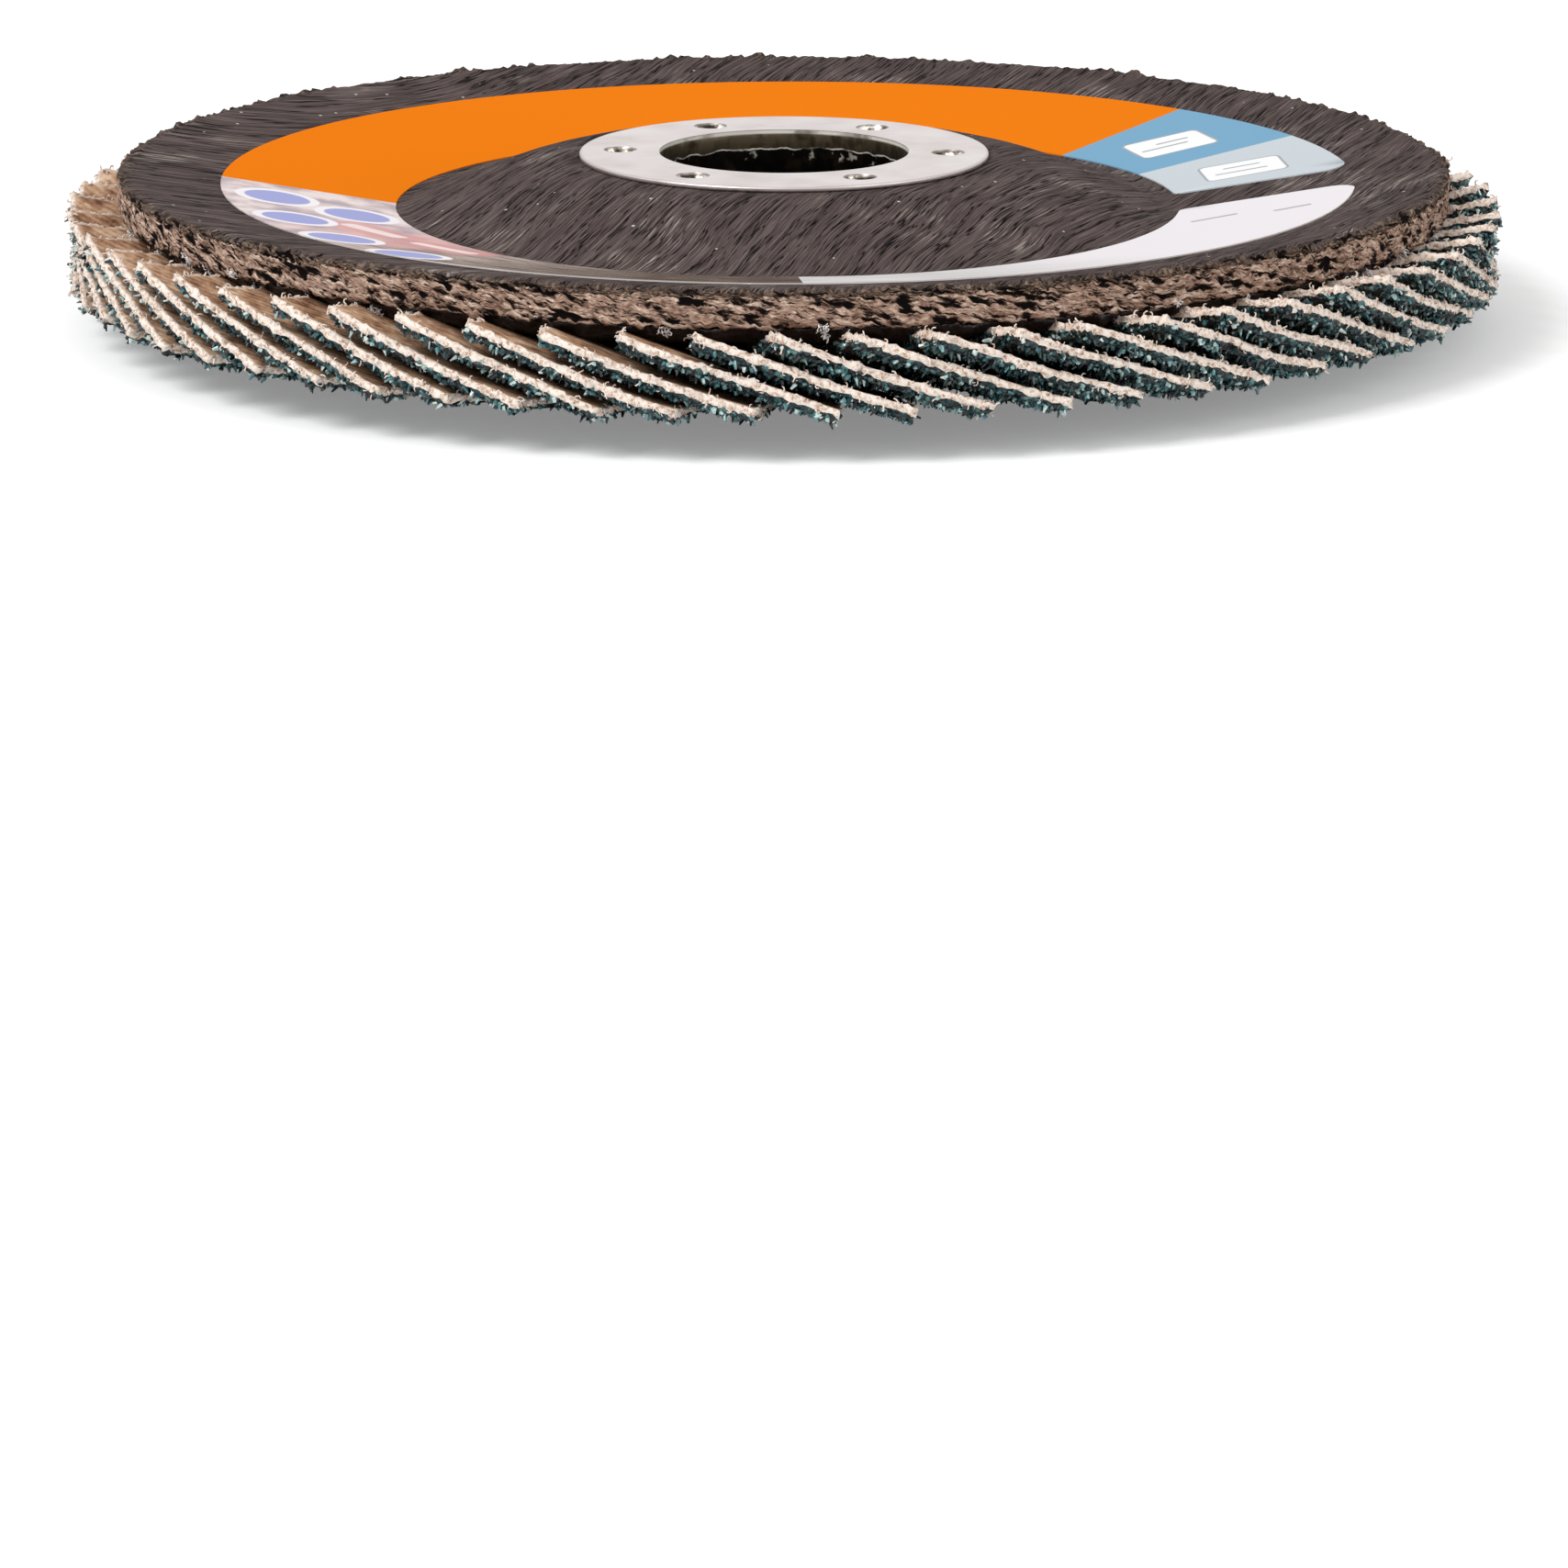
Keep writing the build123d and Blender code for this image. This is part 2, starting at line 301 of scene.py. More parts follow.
def board_rim(t, relief):
    """Colour and relief of the raw rim, on the rim's own map in millimetres."""
    uv = add(t, "ShaderNodeUVMap", uv_map="rim_mm")
    lean = add(t, "ShaderNodeMapping", {"Vector": uv, "Rotation": (0, 0, RIM_LEAN)})

    def stretched(along, across, detail, bend=0.0):
        """Noise in slanting streaks of this size in mm."""
        place = add(t, "ShaderNodeMapping", {"Vector": lean, "Scale": (1 / along, 1 / across, 1)})
        return add(t, "ShaderNodeTexNoise", {
            "Vector": place, "Scale": 1.0, "Detail": detail, "Roughness": 0.62, "Distortion": bend})

    flake = stretched(2.2, 0.36, 4.0, 0.5)
    split = stretched(1.3, 0.17, 3.0, 0.3)
    fine = stretched(0.45, 0.12, 3.0)
    shade = add(t, "ShaderNodeMath", {0: fine, 1: 0.4}, operation="MULTIPLY")
    tone = add(t, "ShaderNodeMath", {0: flake, 1: 0.6, 2: shade}, operation="MULTIPLY_ADD")
    raw = add(t, "ShaderNodeValToRGB", {0: tone}, [
        (0.36, "#4e3c32"), (0.45, "#866b5c"), (0.53, "#b39685"), (0.62, "#e2ccba")])
    # painted shade: near black in the pits, the lowest of the relief, and in dashes along the layers
    low = add(t, "ShaderNodeMath", {0: flake, 1: 0.5}, operation="SUBTRACT")
    low = add(t, "ShaderNodeMath", {0: low, 1: 1.4, 2: relief}, operation="MULTIPLY_ADD")
    pit = add(t, "ShaderNodeValToRGB", {0: low}, [(0.26, 1.0), (0.33, 0.85), (0.4, 0.0)])
    dash = add(t, "ShaderNodeValToRGB", {0: split}, [(0.33, 1.0), (0.405, 0.85), (0.443, 0.0)])
    pit = add(t, "ShaderNodeMath", {0: pit, 1: dash}, operation="MAXIMUM")
    # the top millimetre is crumbled: dark skin and brown crumbs mixed
    crumb = stretched(0.55, 0.3, 5.0, 0.4)
    height = add(t, "ShaderNodeSeparateXYZ", {0: uv}, out=1)
    level = add(t, "ShaderNodeMath", {0: crumb, 1: 3.2, 2: height}, operation="MULTIPLY_ADD")
    worn = add(t, "ShaderNodeMapRange", {
        "Value": level, "From Min": RIM_Z + 0.75, "From Max": RIM_Z + 1.1, "To Max": 0.85})
    dirt = add(t, "ShaderNodeValToRGB", {0: fine}, [(0.4, "#211a17"), (0.52, "#4a3f37"), (0.62, "#7d6b5c")])
    # the crumbled top's own dark tones, then the painted shade of the pits and dashes
    raw = coats(t, raw, (worn, dirt), (pit, "#0f0b0a"))
    return raw, add(t, "ShaderNodeMath", {0: fine, 1: pit}, operation="SUBTRACT")


def fibre_board():
    m, t, s, place = finish("moulded_fibre_board", {
        "Roughness": 0.85, "IOR": 1.5, "Specular IOR Level": 0.04})
    relief = add(t, "ShaderNodeAttribute", attribute_name="relief", out="Fac")
    edge = add(t, "ShaderNodeAttribute", attribute_name="trimmed", out="Fac")
    skin, skin_height = board_skin(t, place)
    rim, rim_height = board_rim(t, relief)
    height = add(t, "ShaderNodeMix", {0: edge, 2: skin_height, 3: rim_height})
    dress(t, s, coats(t, skin, (edge, rim)), height, 0.7, 0.16)
    return m


def dome_curve():
    """The dome's points and slopes: from the flat, through its swell, to the cone's foot."""
    points = [(HUB_FLAT_R, HUB_TOP_Z), *DOME, (HUB_FOOT_R, cone_z(HUB_FOOT_R))]
    slopes = [(b[1] - a[1]) / (b[0] - a[0]) for a, b in zip(points, points[2:])]
    return points, [0.0, *slopes, CONE]


def top_z(radius):
    """Height of the plate's upper face, mm: flat hub, smooth dome, then the cone."""
    if radius <= HUB_FLAT_R:
        return HUB_TOP_Z
    if radius >= HUB_FOOT_R:
        return cone_z(radius)
    points, slopes = dome_curve()
    i = max(k for k in range(len(points) - 1) if radius >= points[k][0])
    (r0, z0), (r1, z1) = points[i], points[i + 1]
    h = r1 - r0
    u = (radius - r0) / h
    rise = (2 * u**3 - 3 * u**2 + 1) * z0 + (3 * u**2 - 2 * u**3) * z1
    return rise + ((u**3 - 2 * u**2 + u) * slopes[i] + (u**3 - u**2) * slopes[i + 1]) * h


PLATE_AROUND = 1080
RIM_ROWS = 12
# radii of the rows on the upper face, closest at the rim, then on the lower face back to the hole
UPPER_ROWS = [HUB_HOLE_R, 15.0, 18.0, HUB_FLAT_R, *(HUB_FLAT_R + 1.2 * i for i in range(1, 14))]
UPPER_ROWS += [36.5, 40.0, 44.0, 48.0, 51.0, 53.5, 55.3, 56.4, 57.1, 57.5, 57.8, 58.1, 58.4, 58.65, 58.9]
LOWER_ROWS = [58.8, 58.3, 57.5, 55.0, 48.0, 40.0, 34.8, 30.5, 27.0, 24.0, 21.5, HUB_FLAT_R, 15.0, HUB_HOLE_R]
# what trimming leaves in a band of TRIM_W: flakes and crumbs, sized along, across and inwards; tears and
# burrs, sized along and inwards. Each reads the noise at a place of its own.
TRIM_W = 1.9
FLAKE = (1.9, 0.4, 0.9)
CRUMB = (0.6, 0.33, 0.4)
TEAR = (4.5, 2.5)
BURR = (0.8, 0.9)
CRUMB_AT, TEAR_AT, BURR_AT = 20, 50, 70
RIM_LEAN = math.radians(9)
# the upper edge is worn down by RIM_WORN under burrs of at most RIM_BURR; the lower edge hangs by RIM_HANG
RIM_WORN = 0.42
RIM_BURR = 0.36
RIM_HANG = 0.45


def plate_section():
    """Radius, height and rawness round the plate's section, mm, closed from bore to rim and back."""
    section = [(r, top_z(r), 0.0) for r in UPPER_ROWS]
    section += [(RIM_R, RIM_Z - PLATE_T * i / RIM_ROWS, 1.0) for i in range(RIM_ROWS + 1)]
    return section + [(r, top_z(r) - PLATE_T, 0.0) for r in LOWER_ROWS]


def ragged(r, z, raw, arc):
    """A section point after trimming: flakes stand out or are torn away, mostly within 1 mm of the rim."""
    near = max(0.0, min(1.0, (r - (RIM_R - TRIM_W)) / TRIM_W))
    if near == 0.0:
        return r, z, raw, 0.5
    along = math.cos(RIM_LEAN) * arc - math.sin(RIM_LEAN) * z
    across = math.sin(RIM_LEAN) * arc + math.cos(RIM_LEAN) * z
    flake = noise.noise(Vector((along / FLAKE[0], across / FLAKE[1], r / FLAKE[2])))
    crumb = noise.noise(Vector((along / CRUMB[0], across / CRUMB[1], r / CRUMB[2] + CRUMB_AT)))
    torn = noise.noise(Vector((arc / TEAR[0], r / TEAR[1], TEAR_AT)))
    relief = 0.62 * flake + 0.38 * crumb
    r += near * (0.46 * relief + 0.14 * torn - 0.12)
    z += near * near * (0.34 * crumb + 0.2 * torn)
    if z > RIM_Z - 0.6:
        burr = noise.noise(Vector((arc / BURR[0], r / BURR[1], BURR_AT)))
        burr = min(RIM_BURR, 1.8 * (0.5 + torn) * max(0.0, burr - 0.12))
        z += near * (burr - RIM_WORN * near**2)
    z -= RIM_HANG * near**2 * max(0.0, (RIM_Z - 1.0 - z) / (PLATE_T - 1.0))
    raw = max(raw, (near - 0.5) * 1.5 + 1.1 * relief)
    return r, z, max(0.0, min(1.0, raw)), 0.5 + 0.9 * relief


def plate():
    """The plate: its section carried round and trimmed, its rawness, relief and rim map kept on the mesh."""
    section = plate_section()
    n = len(section)
    rim_round = 2 * math.pi * RIM_R
    points, trimmed, reliefs, coords = [], [], [], []
    for i in range(PLATE_AROUND):
        angle = math.pi / 2 + 2 * math.pi * i / PLATE_AROUND
        arc = rim_round * i / PLATE_AROUND
        for r, z, raw in section:
            r, z_now, raw, relief = ragged(r, z, raw, arc)
            points.append((r * math.cos(angle) * MM, r * math.sin(angle) * MM, z_now * MM))
            trimmed.append(raw)
            reliefs.append(relief)
            coords.append((arc, z))
    o = mesh_from("plate_body", points, revolved(n, PLATE_AROUND))
    me = o.data
    for name, values in (("trimmed", trimmed), ("relief", reliefs)):
        me.attributes.new(name, "FLOAT", "POINT").data.foreach_set("value", values)
    uv = me.uv_layers.new(name="rim_mm")
    wrap = (PLATE_AROUND - 1) * n
    for f in me.polygons:
        seam = max(f.vertices) >= wrap and min(f.vertices) < n
        for li in f.loop_indices:
            v = me.loops[li].vertex_index
            arc, z = coords[v]
            uv.data[li].uv = (arc + (rim_round if seam and v < n else 0.0), z)
    outward(me)
    me.materials.append(fibre_board())
    put(o, "fibre_plate", "backing_plate")


# ---------------------------------------------------------------- flaps
# Sized cotton twill, its lines 0.8 mm apart: tan and matt, browner where the resin soaked in, its cut edges
# frayed to pale cream, their fuzz painted with highlights and with shade in its gaps.
def twill():
    m, t, s, place = finish("sized_cotton_twill", {"Roughness": 0.9, "IOR": 1.45, "Specular IOR Level": 0.1})
    cut = add(t, "ShaderNodeAttribute", attribute_name="cut", out="Fac")
    uv = add(t, "ShaderNodeUVMap", uv_map="cloth_mm")
    lines = add(t, "ShaderNodeTexWave", {
        "Vector": uv, "Scale": 0.55, "Distortion": 2.5, "Detail": 2.0, "Detail Scale": 2.0},
        wave_type="BANDS", bands_direction="DIAGONAL", out="Fac")
    cloud = add(t, "ShaderNodeTexNoise", {
        "Vector": place, "Scale": per_mm(0.52), "Detail": 5.0, "Roughness": 0.65})
    mixed = add(t, "ShaderNodeMath", {0: lines, 1: 0.09, 2: cloud}, operation="MULTIPLY_ADD")
    face = add(t, "ShaderNodeValToRGB", {0: mixed}, [
        (0.36, "#6a4a38"), (0.48, "#9a745a"), (0.6, "#c09a7c"), (0.74, "#e2c4a9")])
    fuzz = add(t, "ShaderNodeTexNoise", {
        "Vector": place, "Scale": per_mm(2.3), "Detail": 4.0, "Roughness": 0.7})
    # the frayed edge: pale cream fuzz, partly painted: its palest tops are painted highlight, its brown gaps
    # painted shade
    raw = add(t, "ShaderNodeValToRGB", {0: fuzz}, [(0.3, "#7c5f4d"), (0.4, "#d0b49f"), (0.52, "#f8ebe0")])
    height = add(t, "ShaderNodeMix", {0: cut, 2: mixed, 3: fuzz})
    dress(t, s, coats(t, face, (cut, raw)), height, 0.8, 0.15)
    return m


# Size coat over the grain's roots: dark resin, lumpy at the 0.45 mm pitch of P40 grain, wet-looking.
def size_coat():
    m, t, s, place = finish("resin_size_coat", {"Roughness": 0.32, "IOR": 1.55})
    grit = add(t, "ShaderNodeTexVoronoi", {"Vector": place, "Scale": per_mm(2.2)}, out=None).outputs
    tone = add(t, "ShaderNodeSeparateColor", {0: grit["Color"]})
    colour = add(t, "ShaderNodeValToRGB", {0: tone}, [
        (0.0, "#0b1214"), (0.5, "#14262a"), (0.85, "#274b50"), (1.0, "#6f9a98")])
    dress(t, s, colour, grit["Distance"], 1.0, 0.4, invert=True)
    return m


# Zirconia alumina grain: sharp blue-green splinters, glassy, each of its own tone; the palest tones are
# partly pale grain and partly painted glints.
def zirconia():
    m, t, s, place = finish("fused_zirconia_grain", {"Roughness": 0.16, "IOR": 1.6})
    tone = add(t, "ShaderNodeAttribute", attribute_name="tone", out="Fac")
    chip = add(t, "ShaderNodeTexNoise", {"Vector": place, "Scale": per_mm(2.6), "Detail": 2.0})
    mixed = add(t, "ShaderNodeMath", {0: chip, 1: 0.5, 2: tone}, operation="MULTIPLY_ADD")
    mixed = add(t, "ShaderNodeMath", {0: mixed, 1: 0.75}, operation="MULTIPLY")
    # teal tones by each stone and its chips; the near-white top of the ramp is partly a painted glint
    colour = add(t, "ShaderNodeValToRGB", {0: mixed}, [
        (0.2, "#081012"), (0.45, "#132c31"), (0.62, "#265158"), (0.76, "#568a8e"), (0.86, "#a2c2bf"),
        (0.95, "#e2ece7")])
    t.links.new(colour, s.inputs["Base Color"])
    return m


def flap_point(along, across, depth):
    """A point of the flap that lies across +X: along 0 inner to 1 outer end, across and depth in mm."""
    reach = REACH_IN + (REACH_OUT - REACH_IN) * along
    top = TOP_IN + (TOP_OUT - TOP_IN) * along
    bow = 4 * SAG * (across / FLAP_W) * (1 - across / FLAP_W) + depth
    x = -LEAD + across * math.cos(SLOPE) - math.sin(SLOPE) * bow
    y = -across * math.sin(SLOPE) - math.cos(SLOPE) * bow
    return Vector(((reach - y * math.sin(TILT)) * MM, x * MM, (top + y * math.cos(TILT)) * MM))


# shares of the flap's thickness: cloth up to CLOTH_LEVEL, then grain coat, whose sides are set in from the
# cut edge; the grain's tips take up the rest
LEVELS = (0.0, 0.2, 0.4, 0.56, 0.72)
CLOTH_LEVEL = 2
COAT_INSET = (0.0, 0.0, 0.0, 0.22, 0.38)
# inside the pack the coat is bedded on the next flap: it thickens to this share between these places along
# the flap, as far across as the next flap covers it
BEDDED = 1.3
BEDDED_FROM = 0.74
BEDDED_TO = 0.86
COVERED = 10.5
COVER_FADE = 1.5
# rows of the mesh are closest at the outer end, which is the one that shows
FLAP_COLUMNS = 46
FINE_ROW = 0.34
FINE_ROWS = 13
# the cut edge is frayed this far in; how much grain and how many lumps the coat's edge and its face have
FRAYED_W = 0.4
EDGE_GRIT, FACE_GRIT = 0.7, 0.45
FACE_ROUGH = 0.35


def flap_blank():
    """The one flap that the pack repeats: a closed sheet, cloth over grain coat, finest at its outer end."""
    inner = 1 - FINE_ROWS * FINE_ROW / FLAP_LEN
    rows = [inner * i / 4 for i in range(4)]
    rows += [inner + i * FINE_ROW / FLAP_LEN for i in range(FINE_ROWS + 1)]
    columns = [FLAP_W * i / FLAP_COLUMNS for i in range(FLAP_COLUMNS + 1)]
    last = (len(rows) - 1, len(columns) - 1, len(LEVELS) - 1)
    index, points, coords = {}, [], []
    cut, grit, rough = [], [], []
    for i, along in enumerate(rows):
        thick = FLAP_T_IN + (FLAP_T_OUT - FLAP_T_IN) * along
        for j, across in enumerate(columns):
            deep = min(1.0, max(0.0, (BEDDED_TO - along) / (BEDDED_TO - BEDDED_FROM)))
            deep *= min(1.0, max(0.0, (COVERED - across) / COVER_FADE))
            for k, share in enumerate(LEVELS):
                if 0 < i < last[0] and 0 < j < last[1] and 0 < k < last[2]:
                    continue
                cloth = k <= CLOTH_LEVEL
                level = share if cloth else share * (1 + deep * (BEDDED / LEVELS[-1] - 1))
                inset = COAT_INSET[k]
                end = min(max(along, inset / FLAP_LEN), 1 - inset / FLAP_LEN)
                index[i, j, k] = len(points)
                points.append(flap_point(end, min(max(across, inset), FLAP_W - inset), thick * level))
                coords.append((along * FLAP_LEN, across + thick * level))
                side = min((1 - along) * FLAP_LEN, across, FLAP_W - across)
                near = max(0.0, 1 - side / FRAYED_W)
                cut.append(near if cloth else 0.0)
                grit.append(0.0 if cloth else (EDGE_GRIT if near else FACE_GRIT))
                rough.append(near if cloth else max(near, FACE_ROUGH))
    faces = []

    def sheet(a_count, b_count, corner):
        for p in range(a_count):
            for q in range(b_count):
                around = ((p, q), (p + 1, q), (p + 1, q + 1), (p, q + 1))
                faces.append([index[corner(u, v)] for u, v in around])

    for end in (0, 1):
        sheet(last[0], last[1], lambda u, v: (u, v, end * last[2]))
        sheet(last[0], last[2], lambda u, v: (u, end * last[1], v))
        sheet(last[1], last[2], lambda u, v: (end * last[0], u, v))
    o = mesh_from("flap_blank", points, faces)
    me = o.data
    for name, values in (("cut", cut), ("grit", grit), ("rough", rough)):
        me.attributes.new(name, "FLOAT", "POINT").data.foreach_set("value", values)
    coated = [sum(grit[v] > 0 for v in f.vertices) >= 2 for f in me.polygons]
    me.attributes.new("coated", "BOOLEAN", "FACE").data.foreach_set("value", coated)
    uv = me.uv_layers.new(name="cloth_mm")
    for f in me.polygons:
        for li in f.loop_indices:
            uv.data[li].uv = coords[me.loops[li].vertex_index]
    outward(me)
    return o


# Metres, radians and counts to the square metre. Grain of P40 is 0.43 mm across, so it is drawn as it is.
# Threads are 0.05 to 0.17 mm thick, for fibres of 0.02 mm, to show.
FLAP_INPUTS = {
    "First turn": 0.0,
    "Second turn": 0.0,
    "Seed": 1,
    "Fray": 0.42 * MM,
    "Wave": 1.0 * MM,
    "Grain size": 0.23 * MM,
    "Grains per area": 6.6e6,
    "Threads per area": 2.6e6,
    "Thread length": 0.5 * MM,
    "Lowest": 0.0,
}
FIRST_SEED = 11
# the wave grows from this radius to the disc's edge, the grain between its two radii; inside it is thin
WAVE_FROM_R = 52.0
GRAIN_FROM_R, GRAIN_TO_R = 55.5, 59.5
GRAIN_INSIDE = 0.16
# grain comes in splinters and blocks: their bluntness and height, in grain sizes
GRAIN_SHAPES = ((0.3, 2.1), (0.66, 1.4))
GRAIN_CHIP = 0.05 * MM
# noise keeps near its middle, so it is stretched to reach the whole fray
FRAY_STRETCH = 3.0
YARN_R = 0.14


def yarn(t):
    """One short curled stub of three-sided thread, about one unit long."""
    curl = add(t, "GeometryNodeCurvePrimitiveBezierSegment", {
        "Start": (0, 0, -0.2), "Start Handle": (0.1, 0.05, 0.5), "End Handle": (0.75, 0.1, 0.75),
        "End": (0.9, 0.35, 0.3), "Resolution": 3})
    round_of = add(t, "GeometryNodeCurvePrimitiveCircle", {"Resolution": 3, "Radius": YARN_R})
    return add(t, "GeometryNodeCurveToMesh", {"Curve": curl, "Profile Curve": round_of, "Fill Caps": True})


def frayed(t, size, radius, here):
    """The two flaps in place, each with a gentle wave, frayed cut edges and a lumpy grain side."""
    both = add(t, "GeometryNodeJoinGeometry", out=None)
    for which in ("First turn", "Second turn"):
        turn = add(t, "ShaderNodeCombineXYZ", {"Z": size[which]})
        copy = add(t, "GeometryNodeTransform", {"Geometry": size["Geometry"], "Rotation": turn})
        t.links.new(copy, both.inputs[0])
    wave = add(t, "ShaderNodeTexNoise", {"Vector": here, "Scale": per_mm(0.075), "Detail": 1.0})
    wave = add(t, "ShaderNodeMath", {0: wave, 1: 0.5}, operation="SUBTRACT")
    outer = add(t, "ShaderNodeMapRange", {
        "Value": radius, "From Min": WAVE_FROM_R * MM, "From Max": DISC_R * MM})
    lift = add(t, "ShaderNodeMath", {0: wave, 1: size["Wave"]}, operation="MULTIPLY")
    lift = add(t, "ShaderNodeMath", {0: lift, 1: outer}, operation="MULTIPLY")
    lift = add(t, "ShaderNodeCombineXYZ", {"Z": lift})
    rag = add(t, "ShaderNodeTexNoise", {
        "Vector": here, "Scale": per_mm(1.9), "Detail": 3.0, "Roughness": 0.7}, out="Color")
    rag = add(t, "ShaderNodeVectorMath", {0: rag, 1: (0.5, 0.5, 0.5)}, operation="SUBTRACT")
    rough = add(t, "GeometryNodeInputNamedAttribute", {"Name": "rough"}, data_type="FLOAT")
    amount = add(t, "ShaderNodeMath", {0: rough, 1: size["Fray"]}, operation="MULTIPLY")
    amount = add(t, "ShaderNodeMath", {0: amount, 1: FRAY_STRETCH}, operation="MULTIPLY")
    rag = add(t, "ShaderNodeVectorMath", {0: rag, "Scale": amount}, operation="SCALE")
    move = add(t, "ShaderNodeVectorMath", {0: lift, 1: rag}, operation="ADD")
    return add(t, "GeometryNodeSetPosition", {"Geometry": both.outputs[0], "Offset": move})


def grain_on(t, size, sheet, edge, here):
    """Grain over the coated side, in splinters and blocks, bunched, and densest on the outer end."""
    def spread(low, high):
        """A vector drawn afresh for each stone or point."""
        return add(t, "FunctionNodeRandomValue", {0: low, 1: high, "Seed": size["Seed"]},
                   data_type="FLOAT_VECTOR")

    bunch = add(t, "ShaderNodeTexNoise", {"Vector": here, "Scale": per_mm(0.62), "Detail": 1.0})
    bunch = add(t, "ShaderNodeMapRange", {"Value": bunch, "From Min": 0.4, "From Max": 0.6, "To Min": 0.2})
    weight = add(t, "GeometryNodeInputNamedAttribute", {"Name": "grit"}, data_type="FLOAT")
    for factor in (edge, bunch, size["Grains per area"]):
        weight = add(t, "ShaderNodeMath", {0: weight, 1: factor}, operation="MULTIPLY")
    spots = add(t, "GeometryNodeDistributePointsOnFaces", {
        "Mesh": sheet, "Density": weight, "Seed": size["Seed"]}, out=None).outputs
    kinds = add(t, "GeometryNodeJoinGeometry", out=None)
    for blunt, tall in GRAIN_SHAPES:
        tip = add(t, "ShaderNodeMath", {0: size["Grain size"], 1: blunt}, operation="MULTIPLY")
        depth = add(t, "ShaderNodeMath", {0: size["Grain size"], 1: tall}, operation="MULTIPLY")
        cone = add(t, "GeometryNodeMeshCone", {
            "Vertices": 5, "Radius Top": tip, "Radius Bottom": size["Grain size"], "Depth": depth})
        t.links.new(add(t, "GeometryNodeGeometryToInstance", {0: cone}), kinds.inputs[0])
    lean = spread((-0.7, -0.7, -3.1), (0.7, 0.7, 3.1))
    stand = add(t, "FunctionNodeRotateRotation", {0: spots["Rotation"], 1: lean}, rotation_space="LOCAL")
    stones = add(t, "GeometryNodeInstanceOnPoints", {
        "Points": spots[0], "Instance": kinds.outputs[0], "Pick Instance": True,
        "Rotation": stand, "Scale": spread((0.55, 0.55, 0.6), (1.2, 1.2, 1.5))})
    tone = add(t, "FunctionNodeRandomValue", {"Seed": size["Seed"]}, data_type="FLOAT", out=1)
    stones = add(t, "GeometryNodeStoreNamedAttribute", {"Geometry": stones, "Name": "tone", "Value": tone},
                 data_type="FLOAT", domain="INSTANCE")
    stones = add(t, "GeometryNodeRealizeInstances", {0: stones})
    stones = add(t, "GeometryNodeSetPosition", {
        "Geometry": stones, "Offset": spread((-GRAIN_CHIP,) * 3, (GRAIN_CHIP,) * 3)})
    stones = add(t, "GeometryNodeSetShadeSmooth", {0: stones, "Shade Smooth": False})
    return add(t, "GeometryNodeSetMaterial", {"Geometry": stones, "Material": zirconia()})


def threads_on(t, size, sheet, edge, cloth):
    """Loose threads on the frayed edges: short curled stubs of yarn."""
    cut = add(t, "GeometryNodeInputNamedAttribute", {"Name": "cut"}, data_type="FLOAT")
    cut = add(t, "ShaderNodeMath", {0: cut, 1: 2.0}, operation="POWER")
    for factor in (edge, size["Threads per area"]):
        cut = add(t, "ShaderNodeMath", {0: cut, 1: factor}, operation="MULTIPLY")
    ends = add(t, "GeometryNodeDistributePointsOnFaces", {
        "Mesh": sheet, "Density": cut, "Seed": size["Seed"]}, out=None).outputs
    swing = add(t, "FunctionNodeRandomValue", {
        0: (-0.9, -0.9, -3.1), 1: (0.9, 0.9, 3.1), "Seed": size["Seed"]}, data_type="FLOAT_VECTOR")
    swing = add(t, "FunctionNodeRotateRotation", {0: ends["Rotation"], 1: swing}, rotation_space="LOCAL")
    grow = add(t, "FunctionNodeRandomValue", {2: 0.35, 3: 1.2, "Seed": size["Seed"]},
               data_type="FLOAT", out=1)
    grow = add(t, "ShaderNodeMath", {0: grow, 1: size["Thread length"]}, operation="MULTIPLY")
    threads = add(t, "GeometryNodeInstanceOnPoints", {
        "Points": ends[0], "Instance": yarn(t), "Rotation": swing, "Scale": grow})
    threads = add(t, "GeometryNodeRealizeInstances", {0: threads})
    threads = add(t, "GeometryNodeStoreNamedAttribute", {"Geometry": threads, "Name": "cut", "Value": 1.0},
                  data_type="FLOAT", domain="POINT")
    return add(t, "GeometryNodeSetMaterial", {"Geometry": threads, "Material": cloth})


def flap_tree():
    """Two flaps from one blank: turned into place, frayed, then set with grain and loose threads."""
    cloth = twill()
    t, size = new_tree("abrasive_flaps", FLAP_INPUTS)
    here = add(t, "GeometryNodeInputPosition")
    radius = add(t, "ShaderNodeVectorMath", {0: here}, operation="LENGTH", out="Value")
    moved = frayed(t, size, radius, here)
    coated = add(t, "GeometryNodeInputNamedAttribute", {"Name": "coated"}, data_type="BOOLEAN")
    sheet = add(t, "GeometryNodeSetMaterial", {"Geometry": moved, "Material": cloth})
    sheet = add(t, "GeometryNodeSetMaterial", {
        "Geometry": sheet, "Selection": coated, "Material": size_coat()})
    edge = add(t, "ShaderNodeMapRange", {
        "Value": radius, "From Min": GRAIN_FROM_R * MM, "From Max": GRAIN_TO_R * MM,
        "To Min": GRAIN_INSIDE, "To Max": 1.0})
    whole = add(t, "GeometryNodeJoinGeometry", out=None)
    for part in (sheet, grain_on(t, size, moved, edge, here), threads_on(t, size, moved, edge, cloth)):
        t.links.new(part, whole.inputs[0])
    # nothing reaches below the surface that the disc lies on
    x, y, z = add(t, "ShaderNodeSeparateXYZ", {0: here}, out=None).outputs
    z = add(t, "ShaderNodeMath", {0: z, 1: size["Lowest"]}, operation="MAXIMUM")
    held = add(t, "ShaderNodeCombineXYZ", {"X": x, "Y": y, "Z": z})
    whole = add(t, "GeometryNodeRealizeInstances", {0: whole.outputs[0]})
    whole = add(t, "GeometryNodeSetPosition", {"Geometry": whole, "Position": held})
    add(t, "NodeGroupOutput", {0: whole}, out=None)
    return t


